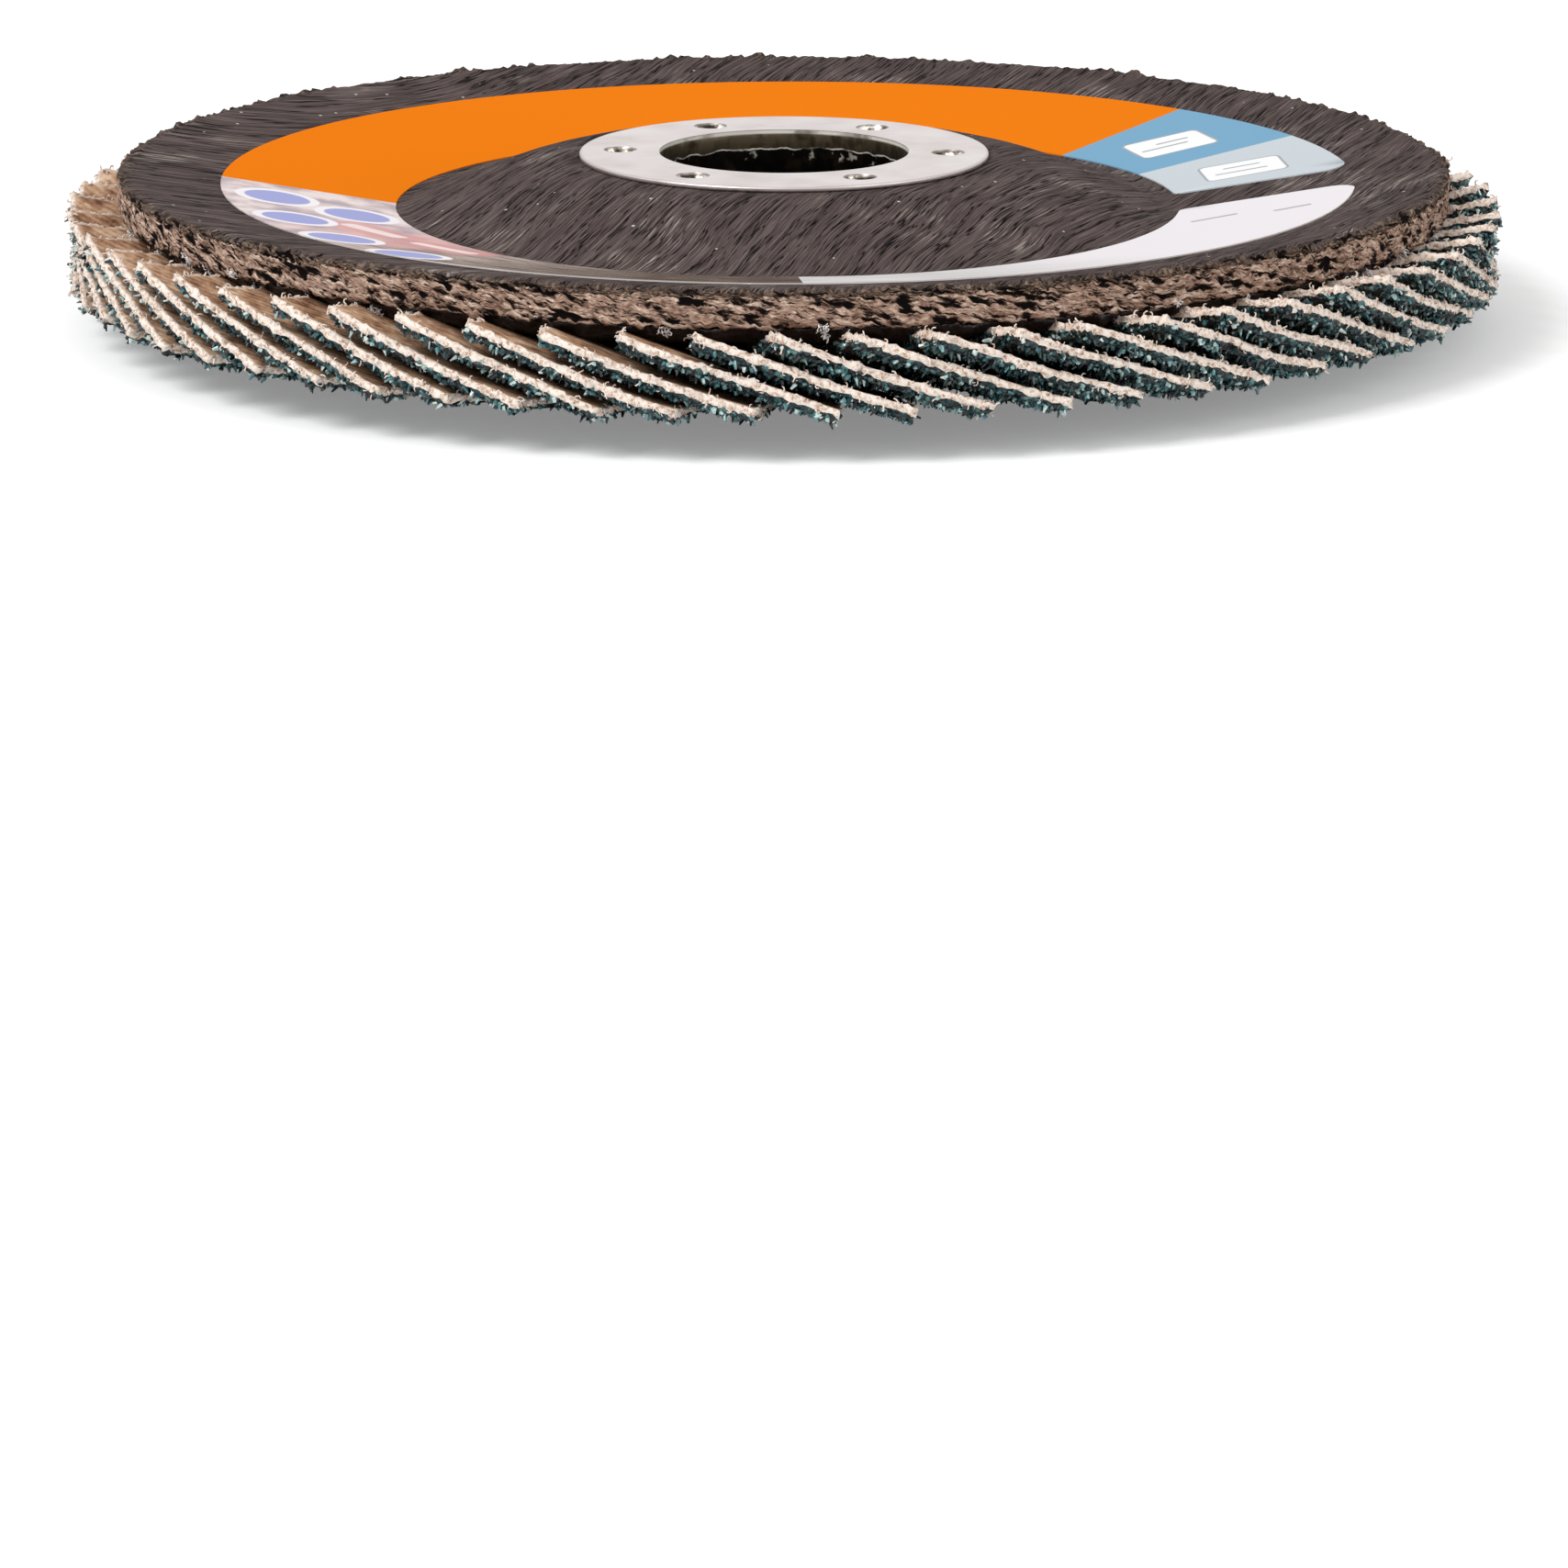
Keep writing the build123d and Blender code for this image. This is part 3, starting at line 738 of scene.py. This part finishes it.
def flaps():
    """The pack of flaps, grown from one blank two at a time, as the CAD model keeps them."""
    tree = flap_tree()
    blank = flap_blank()
    bpy.context.scene.collection.objects.link(blank)
    for pair in range(FLAP_COUNT // 2):
        turns = []
        for index in (2 * pair, 2 * pair + 1):
            drift = FLAP_DRIFT[index % len(FLAP_DRIFT)]
            turns.append(math.radians(FLAP_FIRST + index * 360 / FLAP_COUNT + drift))
        me = grown(blank, tree, {
            "First turn": turns[0], "Second turn": turns[1], "Seed": FIRST_SEED + pair, "Lowest": floor_z})
        name = "flap_pair_%02d" % (pair + 1)
        put(bpy.data.objects.new("abrasive_" + name, me), "abrasive_cloth", name)
    bpy.data.objects.remove(blank)


# ---------------------------------------------------------------- ring and washer
RING_OUTER_R = 18.2
BORE_R = 11.115
CLINCH_R = 14.6
CLINCH_FIRST = math.radians(57)
CLINCH_STEP = math.radians(60)
CLINCH_TOP_R = 1.45
# the outer edge is rubbed dull over this width; the ramp of a clinch point's dark ring spans its reach
RUBBED_W = 0.35
CLINCH_REACH = 3.0
# depths below the face: a painted highlight on the collar's rolled edge, fading out between these two
ROLLED_FROM, ROLLED_TO = 0.3, 0.44
# the wall's colours, painted shade that darkens down the bore, then black resin, run over COLLAR_DEEP, from
# COLLAR_LIFT less the up to 1 mm that its torn edge wanders
COLLAR_DEEP = 4.0
COLLAR_LIFT = 0.35


def polar(t, place):
    """Radius in mm and angle in radians about the disc's axis, from object coordinates, and their height."""
    x, y, z = add(t, "ShaderNodeSeparateXYZ", {0: place}, out=None).outputs
    angle = add(t, "ShaderNodeMath", {0: y, 1: x}, operation="ARCTAN2")
    flat = add(t, "ShaderNodeMapping", {"Vector": place, "Scale": (1 / MM, 1 / MM, 0.0)})
    radius = add(t, "ShaderNodeVectorMath", {0: flat}, operation="LENGTH", out="Value")
    return radius, angle, z


def clinch_reach(t, radius, angle):
    """Distance in mm from the middle of the nearest clinch point, all six folded onto one."""
    side = angle
    for operation, by in (("SUBTRACT", CLINCH_FIRST), ("DIVIDE", CLINCH_STEP), ("ADD", 0.5), ("FRACT", 0.0),
                          ("SUBTRACT", 0.5), ("MULTIPLY", CLINCH_STEP), ("MULTIPLY", CLINCH_R)):
        side = add(t, "ShaderNodeMath", {0: side, 1: by}, operation=operation)
    out = add(t, "ShaderNodeMath", {0: radius, 1: CLINCH_R}, operation="SUBTRACT")
    spot = add(t, "ShaderNodeCombineXYZ", {0: out, 1: side})
    return add(t, "ShaderNodeVectorMath", {0: spot}, operation="LENGTH", out="Value")


def collar(t, place, z):
    """Colour of the bore's wall, painted darker with depth as shade, and a mask of the painted highlights on
    its rolled and its torn edge.
    """
    depth = add(t, "ShaderNodeMath", {0: z, 1: -1 / MM, 2: -COLLAR_LIFT}, operation="MULTIPLY_ADD")
    wander = add(t, "ShaderNodeTexNoise", {"Vector": place, "Scale": per_mm(0.42), "Detail": 3.0})
    depth = add(t, "ShaderNodeMath", {0: wander, 1: depth}, operation="ADD")
    down = add(t, "ShaderNodeMath", {0: depth, 1: COLLAR_DEEP}, operation="DIVIDE")
    # painted shade: pale at the top of the wall, darker olive down the bore, then near black with resin below
    # the torn edge
    wall = add(t, "ShaderNodeValToRGB", {0: down}, [
        (0.08, "#a0937f"), (0.2, "#6b5f4c"), (0.44, "#4c4233"), (0.455, "#463c2e"), (0.475, "#15110e"),
        (1.0, "#080706")])
    stain = add(t, "ShaderNodeTexNoise", {"Vector": place, "Scale": per_mm(0.52), "Detail": 4.0})
    brown = add(t, "ShaderNodeValToRGB", {0: stain}, [(0.5, 0.0), (0.6, 0.55)])
    # painted highlights where the edge is torn and where it is rolled, both in broken lengths
    broken = add(t, "ShaderNodeTexNoise", {"Vector": place, "Scale": per_mm(0.34), "Detail": 4.0})
    edge_highlight = add(t, "ShaderNodeValToRGB", {0: down}, [(0.43, 0.0), (0.455, 1.0), (0.48, 0.0)])
    rolled = add(t, "ShaderNodeMapRange", {
        "Value": z, "From Min": -ROLLED_TO * MM, "From Max": -ROLLED_FROM * MM})
    lengths = add(t, "ShaderNodeValToRGB", {0: broken}, [(0.42, 0.1), (0.54, 1.0)])
    edge_highlight = add(t, "ShaderNodeMath", {0: edge_highlight, 1: lengths}, operation="MULTIPLY")
    lengths = add(t, "ShaderNodeValToRGB", {0: broken}, [(0.38, 0.35), (0.5, 1.0)])
    rolled = add(t, "ShaderNodeMath", {0: rolled, 1: lengths}, operation="MULTIPLY")
    edge_highlight = add(t, "ShaderNodeMath", {0: edge_highlight, 1: rolled}, operation="MAXIMUM")
    # painted glints: small bright specks in the resin under the edge
    glint_specks = add(t, "ShaderNodeTexNoise", {"Vector": place, "Scale": per_mm(1.1), "Detail": 2.0})
    glint_specks = add(t, "ShaderNodeValToRGB", {0: glint_specks}, [(0.55, 0.0), (0.61, 1.0)])
    under = add(t, "ShaderNodeValToRGB", {0: down}, [(0.47, 0.0), (0.52, 1.0), (0.66, 1.0), (0.74, 0.0)])
    patches = add(t, "ShaderNodeValToRGB", {0: stain}, [(0.5, 0.0), (0.58, 1.0)])
    for mask in (under, patches):
        glint_specks = add(t, "ShaderNodeMath", {0: glint_specks, 1: mask}, operation="MULTIPLY")
    return coats(t, wall, (brown, "#2c2116"), (edge_highlight, "#f3eee3"), (glint_specks, "#e4ddd0")), edge_highlight


# Bright zinc-plated steel, stamped and satin. The collar is painted pale to dark olive with depth, as shade
# in the bore, black with resin lower down, and each clinch point is a torn, creased pit.
def stamped_steel():
    m, t, s, place = finish("stamped_zinc_plated_steel", {})
    radius, angle, z = polar(t, place)
    turned = add(t, "ShaderNodeMapping", {"Vector": place, "Rotation": (0.0, 0.0, -math.radians(20))})
    cells = (per_mm(0.3), per_mm(3.6), per_mm(0.9))
    brushed = add(t, "ShaderNodeMapping", {"Vector": turned, "Scale": cells})
    grain = add(t, "ShaderNodeTexNoise", {"Vector": brushed, "Scale": 1.0, "Detail": 4.0})
    smear = add(t, "ShaderNodeTexNoise", {"Vector": place, "Scale": per_mm(0.17), "Detail": 4.0})
    tint = add(t, "ShaderNodeValToRGB", {0: smear}, [(0.3, "#cbc1bd"), (0.5, "#d8d0ce"), (0.7, "#dfd9d8")])
    rubbed = add(t, "ShaderNodeMapRange", {
        "Value": radius, "From Min": RING_OUTER_R - RUBBED_W, "From Max": RING_OUTER_R})
    rubbed = add(t, "ShaderNodeValToRGB", {0: rubbed}, [(0.2, 0.0), (1.0, 0.4)])
    reach = clinch_reach(t, radius, angle)
    crease = add(t, "ShaderNodeTexNoise", {"Vector": place, "Scale": per_mm(0.95), "Detail": 3.0})
    torn = add(t, "ShaderNodeValToRGB", {0: crease}, [(0.4, "#2c2620"), (0.5, "#8d857b"), (0.56, "#f2ede6")])
    inside = add(t, "ShaderNodeMapRange", {
        "Value": reach, "From Min": CLINCH_TOP_R, "From Max": CLINCH_TOP_R - 0.12})
    lip = add(t, "ShaderNodeMath", {0: reach, 1: CLINCH_REACH}, operation="DIVIDE")
    lip = add(t, "ShaderNodeValToRGB", {0: lip}, [(0.42, 0.0), (0.47, 0.8), (0.52, 0.0)])
    wall, edge_highlight = collar(t, place, z)
    bore = add(t, "ShaderNodeMapRange", {
        "Value": radius, "From Min": BORE_R + 0.55, "From Max": BORE_R + 0.25})
    low = add(t, "ShaderNodeMapRange", {"Value": z, "From Min": -0.03 * MM, "From Max": -0.12 * MM})
    bore = add(t, "ShaderNodeMath", {0: bore, 1: low}, operation="MULTIPLY")
    tint = coats(t, tint, (rubbed, "#8d8077"), (inside, torn), (lip, "#6b625a"), (bore, wall))
    height = add(t, "ShaderNodeMix", {0: inside, 2: grain, 3: crease})
    dress(t, s, tint, height, 0.25, 0.06)
    satin = add(t, "ShaderNodeValToRGB", {0: grain}, [(0.3, 0.34), (0.7, 0.5)])
    t.links.new(satin, s.inputs["Roughness"])
    # where the highlights are painted on the rolled and the torn edge, the steel is less of a mirror, so they
    # show from every side
    bright = add(t, "ShaderNodeMath", {0: edge_highlight, 1: bore}, operation="MULTIPLY")
    metal = add(t, "ShaderNodeMapRange", {"Value": bright, "To Min": 0.95, "To Max": 0.25})
    t.links.new(metal, s.inputs["Metallic"])
    return m


def steel():
    """Ring and washer stay the CAD model's own meshes, finished in one steel."""
    finished = stamped_steel()
    for name in ("arbor_ring", "clinch_washer"):
        for slot in nodes[name].material_slots:
            slot.material = finished


# ---------------------------------------------------------------- glue
# Cured black epoxy squeezed out in beads: glossy black, its lumps catching small highlights.
def black_epoxy():
    m, t, s, place = finish("cured_black_epoxy", {"Roughness": 0.22, "IOR": 1.5, "Specular IOR Level": 0.3})
    bead = add(t, "ShaderNodeTexNoise", {"Vector": place, "Scale": per_mm(0.8), "Detail": 3.0})
    tone = add(t, "ShaderNodeValToRGB", {0: bead}, [(0.4, "#080607"), (0.6, "#1d181a")])
    dress(t, s, tone, bead, 1.0, 0.3)
    return m


# Cotton lint off the flaps' edges, stuck in the glue: dull white fluff.
def cotton_lint():
    m, t, s, place = finish("cotton_lint", {"Roughness": 0.95, "Specular IOR Level": 0.1})
    fluff = add(t, "ShaderNodeTexNoise", {"Vector": place, "Scale": per_mm(2.6), "Detail": 3.0})
    tone = add(t, "ShaderNodeValToRGB", {0: fluff}, [(0.35, "#e6e1e3"), (0.5, "#ffffff")])
    t.links.new(tone, s.inputs["Base Color"])
    return m


# metres and counts to the square metre; a fibre of 0.02 mm is drawn about 0.1 mm thick, to show
LINT_INPUTS = {
    "Seed": 7,
    "Tufts per area": 1.1e5,
    "Fibres in a tuft": 14,
    "Fibre length": 0.5 * MM,
    "Tuft length": 0.8 * MM,
}


def lint_tree():
    """Tufts of lint here and there on the glue's open side."""
    t, size = new_tree("lint_tufts", LINT_INPUTS)

    def spread(low, high):
        """A vector drawn afresh for each fibre or tuft."""
        return add(t, "FunctionNodeRandomValue", {0: low, 1: high, "Seed": size["Seed"]},
                   data_type="FLOAT_VECTOR")

    where = add(t, "ShaderNodeVectorMath", {
        0: spread((-1.0, -0.3, 0.0), (1.0, 0.3, 0.8)), "Scale": size["Tuft length"]}, operation="SCALE")
    middle = add(t, "GeometryNodePoints", {"Count": size["Fibres in a tuft"], "Position": where})
    tuft = add(t, "GeometryNodeInstanceOnPoints", {
        "Points": middle, "Instance": yarn(t), "Rotation": spread((-3.1,) * 3, (3.1,) * 3),
        "Scale": size["Fibre length"]})
    tuft = add(t, "GeometryNodeGeometryToInstance", {0: tuft})
    side = add(t, "GeometryNodeInputNamedAttribute", {"Name": "side"}, data_type="FLOAT")
    density = add(t, "ShaderNodeMath", {0: side, 1: size["Tufts per area"]}, operation="MULTIPLY")
    spots = add(t, "GeometryNodeDistributePointsOnFaces", {
        "Mesh": size["Geometry"], "Density": density, "Seed": size["Seed"]}, out=None).outputs
    swing = spread((-0.2, -0.2, -3.1), (0.2, 0.2, 3.1))
    stand = add(t, "FunctionNodeRotateRotation", {0: spots["Rotation"], 1: swing}, rotation_space="LOCAL")
    lint = add(t, "GeometryNodeInstanceOnPoints", {
        "Points": spots[0], "Instance": tuft, "Rotation": stand,
        "Scale": spread((0.5,) * 3, (1.2,) * 3)})
    lint = add(t, "GeometryNodeRealizeInstances", {0: lint})
    lint = add(t, "GeometryNodeSetMaterial", {"Geometry": lint, "Material": cotton_lint()})
    whole = add(t, "GeometryNodeJoinGeometry", out=None)
    for part in (size["Geometry"], lint):
        t.links.new(part, whole.inputs[0])
    add(t, "NodeGroupOutput", {0: whole.outputs[0]}, out=None)
    return t


GLUE_INNER_R = 39.1
GLUE_OUTER_R = 58.9
GLUE_AROUND = 900
GLUE_FILL = 2.0
# the bed's section: radius, depth under the plate, and 1 where it set free, in beads of BEAD_W by BEAD_H
GLUE_SECTION = (
    (GLUE_INNER_R, 0.0, 0), (48.0, 0.0, 0), (55.5, 0.0, 0), (57.6, 0.02, 1), (GLUE_OUTER_R, 0.2, 1),
    (GLUE_OUTER_R, 0.6, 1), (GLUE_OUTER_R - 0.3, 1.0, 1), (GLUE_OUTER_R - 0.9, 1.5, 1), (56.2, GLUE_FILL, 1),
    (54.5, GLUE_FILL, 0), (48.0, GLUE_FILL, 0), (GLUE_INNER_R, GLUE_FILL - 0.6, 0))
BEAD_W, BEAD_H = 1.7, 0.5
# it starts this far under the plate, and lint sticks between these depths
GLUE_GAP = 0.005
LINT_FROM, LINT_TO = 0.1, 1.2


def glue_bed():
    """The bed of glue, filling the wedges over the flaps' roots: a closed ring with a beaded outer side."""
    points, side = [], []
    for i in range(GLUE_AROUND):
        angle = 2 * math.pi * i / GLUE_AROUND
        c, d = math.cos(angle), math.sin(angle)
        for r, depth, free in GLUE_SECTION:
            if free:
                near = Vector((c * r / BEAD_W, d * r / BEAD_W, depth / BEAD_H))
                r += 0.75 * noise.noise(near) + 0.3 * noise.noise(near * 3.1) - 0.45
            z = cone_z(r) - PLATE_T - GLUE_GAP - depth * 0.985
            points.append((r * c * MM, r * d * MM, z * MM))
            side.append(float(free and LINT_FROM < depth < LINT_TO))
    o = mesh_from("glue_bed", points, revolved(len(GLUE_SECTION), GLUE_AROUND))
    outward(o.data)
    o.data.attributes.new("side", "FLOAT", "POINT").data.foreach_set("value", side)
    o.data.materials.append(black_epoxy())
    bpy.context.scene.collection.objects.link(o)
    me = grown(o, lint_tree(), {})
    bpy.data.objects.remove(o)
    put(bpy.data.objects.new("glue_bed", me), "black_glue", "adhesive_bed")


# ---------------------------------------------------------------- label
LABEL_SHIFT = 0.35
LABEL_OUTER_R = 50.4
# plain printed shapes, mm and degrees. Discs: x, y. Tiles, bars and pills: x, y, width, height, turn.
DISCS = [(-45.1, -6.2), (-37.9, -9.6), (-42.9, -16.9), (-38.3, -27.0), (-32.2, -35.4)]
DISC_RIM_R = 3.75
DISC_INK_R = 2.9
TILES = [(35.1, 23.3, 7.2, 5.5, 21.0), (41.1, 10.4, 7.1, 5.7, 7.0)]
BARS = [(34.6, 22.6, 4.6, 0.4, 21.0), (35.3, 24.3, 3.2, 0.4, 21.0), (40.9, 9.6, 4.8, 0.4, 7.0),
        (41.0, 11.5, 3.4, 0.4, 7.0), (37.4, -11.2, 4.2, 0.7, 12.0), (44.2, -12.0, 3.4, 0.7, 12.0)]
PILLS = [(-36.0, -18.0, 7.0, 2.0, -42.0), (-29.6, -25.0, 7.0, 1.7, -38.0)]
BLUSH = (-33.5, -23.0, 0)
# ink fades out over this much on either side of a printed edge
DISC_SOFT, TILE_SOFT = 0.08, 0.06


def at(degrees):
    """Place of an angle on a ramp that runs once round the label, from -180 degrees to 180."""
    return (degrees + 180) / 360


def foil_ground(t, flat, share, streak):
    """The label's fields: flat inks at the back; at the front lilac, clear film, silver, then white."""
    cloud = add(t, "ShaderNodeTexNoise", {"Vector": flat, "Scale": 0.28, "Detail": 3.0})
    fields = add(t, "ShaderNodeValToRGB", {0: share}, [
        (0.0, "#d9cccb"), (at(-4), "#cdd5da"), (at(22.8), "#7fadcb"), (at(42.2), "#f07f17"),
        (at(179.0), "#d9cccb")], "CONSTANT")
    lilac = add(t, "ShaderNodeValToRGB", {0: cloud}, [(0.38, "#b9acb3"), (0.5, "#d6c6c6"), (0.62, "#ecdfdc")])
    # clear film: the board's brown under it, its pale streaks a painted reflection
    clear = add(t, "ShaderNodeValToRGB", {0: streak}, [
        (0.34, "#463b37"), (0.48, "#61554f"), (0.6, "#786a61"), (0.68, "#dccdc2")])
    # silver foil: its streaked greys are a painted reflection
    silver = add(t, "ShaderNodeValToRGB", {0: streak}, [
        (0.3, "#b0adac"), (0.48, "#d2cfce"), (0.66, "#ebe8e8")])
    # where the clear film starts, light still catches along its streaks
    catch = add(t, "ShaderNodeValToRGB", {0: streak}, [(0.44, 0.0), (0.56, 0.85)])
    start = add(t, "ShaderNodeValToRGB", {0: share}, [(at(-126), 1.0), (at(-106), 0.0)])
    catch = add(t, "ShaderNodeMath", {0: catch, 1: start}, operation="MULTIPLY")
    fade = add(t, "ShaderNodeValToRGB", {0: share}, [(at(-150), 0.0), (at(-128), 1.0)])
    bare = add(t, "ShaderNodeValToRGB", {0: share}, [(0.0, 0.0), (at(-89.2), 1.0)], "CONSTANT")
    white = add(t, "ShaderNodeValToRGB", {0: share}, [(at(-70), 0.0), (at(-48), 1.0)])
    clear = coats(t, clear, (catch, "#cdbdb2"))
    front = coats(t, lilac, (fade, clear), (bare, silver), (white, "#f0ebee"))
    is_front = add(t, "ShaderNodeValToRGB", {0: share}, [
        (0.0, 1.0), (at(-1), 0.0), (at(179.0), 1.0)], "CONSTANT")
    # a red blush behind the pills
    blush = add(t, "ShaderNodeVectorMath", {0: flat, 1: BLUSH}, operation="DISTANCE", out="Value")
    blush = add(t, "ShaderNodeMapRange", {"Value": blush, "From Min": 12.0, "From Max": 5.0})
    thin = add(t, "ShaderNodeValToRGB", {0: cloud}, [(0.42, 0.1), (0.55, 0.55)])
    for mask in (thin, is_front):
        blush = add(t, "ShaderNodeMath", {0: blush, 1: mask}, operation="MULTIPLY")
    return coats(t, fields, (is_front, front), (blush, "#dc9a97"))


# Printed foil label: flat matt inks in plain fields. Towards the front its foil is bare: clear over the
# board, then silver with fine lengthwise streaks, then coated white. The shine of the clear film and the
# silver is painted reflection.
def printed_foil():
    m, t, s, place = finish("printed_foil_label", {"Roughness": 0.55, "IOR": 1.45, "Specular IOR Level": 0.0})
    flat = add(t, "ShaderNodeMapping", {
        "Vector": place, "Location": (-LABEL_SHIFT, 0.0, 0.0), "Scale": (1 / MM, 1 / MM, 0.0)})
    xyz = add(t, "ShaderNodeSeparateXYZ", {0: flat}, out=None).outputs
    radius = add(t, "ShaderNodeVectorMath", {0: flat}, operation="LENGTH", out="Value")
    angle = add(t, "ShaderNodeMath", {0: xyz[1], 1: xyz[0]}, operation="ARCTAN2")
    share = add(t, "ShaderNodeMapRange", {"Value": angle, "From Min": -math.pi, "From Max": math.pi})

    def disc(cx, cy, r):
        """Mask of a printed circle."""
        gap = add(t, "ShaderNodeVectorMath", {0: flat, 1: (cx, cy, 0)}, operation="DISTANCE", out="Value")
        return add(t, "ShaderNodeMapRange", {
            "Value": gap, "From Min": r + DISC_SOFT, "From Max": r - DISC_SOFT})

    def tile(cx, cy, w, h, turn, corner=0.8):
        """Mask of a printed oblong with round corners."""
        off = add(t, "ShaderNodeVectorMath", {0: flat, 1: (cx, cy, 0)}, operation="SUBTRACT")
        off = add(t, "ShaderNodeMapping", {"Vector": off, "Rotation": (0, 0, -math.radians(turn))})
        inner = (w / 2 - corner, h / 2 - corner, 0)
        for operation, by in (("ABSOLUTE", inner), ("SUBTRACT", inner), ("MAXIMUM", (0, 0, 0))):
            off = add(t, "ShaderNodeVectorMath", {0: off, 1: by}, operation=operation)
        off = add(t, "ShaderNodeVectorMath", {0: off}, operation="LENGTH", out="Value")
        return add(t, "ShaderNodeMapRange", {
            "Value": off, "From Min": corner + TILE_SOFT, "From Max": corner - TILE_SOFT})

    along = add(t, "ShaderNodeMath", {0: angle, 1: LABEL_OUTER_R}, operation="MULTIPLY")
    lie = add(t, "ShaderNodeCombineXYZ", {0: along, 1: radius})
    lie = add(t, "ShaderNodeMapping", {"Vector": lie, "Scale": (0.12, 3.6, 1)})
    streak = add(t, "ShaderNodeTexNoise", {"Vector": lie, "Scale": 1.0, "Detail": 4.0, "Roughness": 0.6})
    ink = foil_ground(t, flat, share, streak)
    for cx, cy, w, h, turn in PILLS:
        patch = tile(cx, cy, w + 2.4, h + 3.4, turn, 1.2)
        patch = add(t, "ShaderNodeMath", {0: patch, 1: 0.6}, operation="MULTIPLY")
        ink = coats(t, ink, (patch, "#dea09d"), (tile(cx, cy, w, h, turn, 0.6), "#f2e2df"))
    for cx, cy in DISCS:
        ink = coats(t, ink, (disc(cx, cy, DISC_RIM_R), "#f6f1f4"), (disc(cx, cy, DISC_INK_R), "#a9addb"))
    for cx, cy, w, h, turn in TILES:
        edge = tile(cx, cy, w + 0.45, h + 0.45, turn)
        ink = coats(t, ink, (edge, "#a9aeb4"), (tile(cx, cy, w, h, turn, 0.6), "#fafafa"))
    for cx, cy, w, h, turn in BARS:
        ink = coats(t, ink, (tile(cx, cy, w, h, turn, 0.18), "#b4b7bb"))
    # light catches on the cut edge at the front
    rim = add(t, "ShaderNodeMapRange", {
        "Value": radius, "From Min": LABEL_OUTER_R - 0.24, "From Max": LABEL_OUTER_R - 0.16})
    lit = add(t, "ShaderNodeValToRGB", {0: share}, [
        (0.0, 0.0), (at(-155), 0.0), (at(-130), 0.75), (at(-20), 0.75), (at(-10), 0.0)])
    rim = add(t, "ShaderNodeMath", {0: rim, 1: lit}, operation="MULTIPLY")
    dress(t, s, coats(t, ink, (rim, "#f1ebe6")), streak, 0.15, 0.03)
    return m


def label():
    """The label as glued: a touch off centre on the cone, as labels are."""
    me = nodes["label"].data.copy()
    bm = bmesh.new()
    bm.from_mesh(me)
    bmesh.ops.remove_doubles(bm, verts=bm.verts, dist=0.002 * MM)
    for v in bm.verts:
        before = math.hypot(v.co.x, v.co.y) / MM
        v.co.x += LABEL_SHIFT * MM
        after = math.hypot(v.co.x, v.co.y) / MM
        v.co.z += (top_z(after) - top_z(before)) * MM
    bm.to_mesh(me)
    bm.free()
    me.set_sharp_from_angle(angle=math.radians(30))
    me.materials.clear()
    me.materials.append(printed_foil())
    put(bpy.data.objects.new("label_print", me), "label_print", "label")


# ---------------------------------------------------------------- floor, light, camera
# metres, watts, radians; the lens gives FOCAL_PX over a frame of FRAME_PX
FLOOR_HALF = 3.0
FLOOR_GLOW = 0.24
ROOM_LIGHT = 0.5
LIGHTS = (("key", (-0.55, -0.45, 0.7), 0.5, 6.6), ("fill", (0.6, -0.4, 0.35), 0.6, 1.7))
EYE = (0.0, -0.720, 0.127)
LOOK_DOWN = 0.2517
SENSOR = 36.0
FOCAL_PX = 8927
FRAME_PX = 1708


def sweep():
    """A white floor that keeps the disc's shadow and shows white to the camera."""
    m, t, s, place = finish("white_sweep", {})
    out = t.nodes["Material Output"]
    t.nodes.remove(s)
    matt = add(t, "ShaderNodeBsdfDiffuse", {"Color": linear("#fafafa")})
    seen = add(t, "ShaderNodeLightPath", out="Is Camera Ray")
    lift = add(t, "ShaderNodeMath", {0: seen, 1: FLOOR_GLOW}, operation="MULTIPLY")
    glow = add(t, "ShaderNodeEmission", {"Strength": lift})
    t.links.new(add(t, "ShaderNodeAddShader", {0: matt, 1: glow}), out.inputs[0])
    corners = [(FLOOR_HALF * x, FLOOR_HALF * y, floor_z) for x, y in ((-1, -1), (1, -1), (1, 1), (-1, 1))]
    floor = mesh_from("floor", corners, [(0, 1, 2, 3)])
    floor.data.materials.append(m)
    bpy.context.scene.collection.objects.link(floor)


def room():
    """Even light from all round, which mirrors and the camera see as white."""
    world = bpy.data.worlds.new("soft_room")
    bpy.context.scene.world = world
    world.use_nodes = True
    w = world.node_tree
    path = add(w, "ShaderNodeLightPath", out=None).outputs
    white = path["Is Camera Ray"]
    for ray in ("Is Glossy Ray", "Is Transmission Ray"):
        white = add(w, "ShaderNodeMath", {0: white, 1: path[ray]}, operation="MAXIMUM")
    level = add(w, "ShaderNodeMapRange", {"Value": white, "To Min": ROOM_LIGHT, "To Max": 1.0})
    w.nodes["Background"].inputs[0].default_value = linear("#ffffff")
    w.links.new(level, w.nodes["Background"].inputs[1])


def lamps():
    """A soft key from the left and a fill from the right, both aimed at the disc."""
    for name, place, size, power in LIGHTS:
        light = bpy.data.lights.new(name, "AREA")
        light.energy = power
        light.size = size
        o = bpy.data.objects.new(name, light)
        o.location = place
        o.rotation_euler = (-Vector(place)).to_track_quat("-Z", "Y").to_euler()
        bpy.context.scene.collection.objects.link(o)


def camera():
    """A long lens in front, looking down on the disc."""
    cam = bpy.data.cameras.new("view")
    cam.sensor_width = SENSOR
    cam.lens = SENSOR * FOCAL_PX / FRAME_PX
    cam.clip_start = 0.01
    o = bpy.data.objects.new("view", cam)
    o.location = EYE
    o.rotation_euler = (math.radians(90) - LOOK_DOWN, 0.0, 0.0)
    bpy.context.scene.collection.objects.link(o)
    bpy.context.scene.camera = o


bpy.context.scene.view_settings.view_transform = "Standard"
camera()
sweep()
room()
lamps()
plate()
flaps()
glue_bed()
label()
steel()
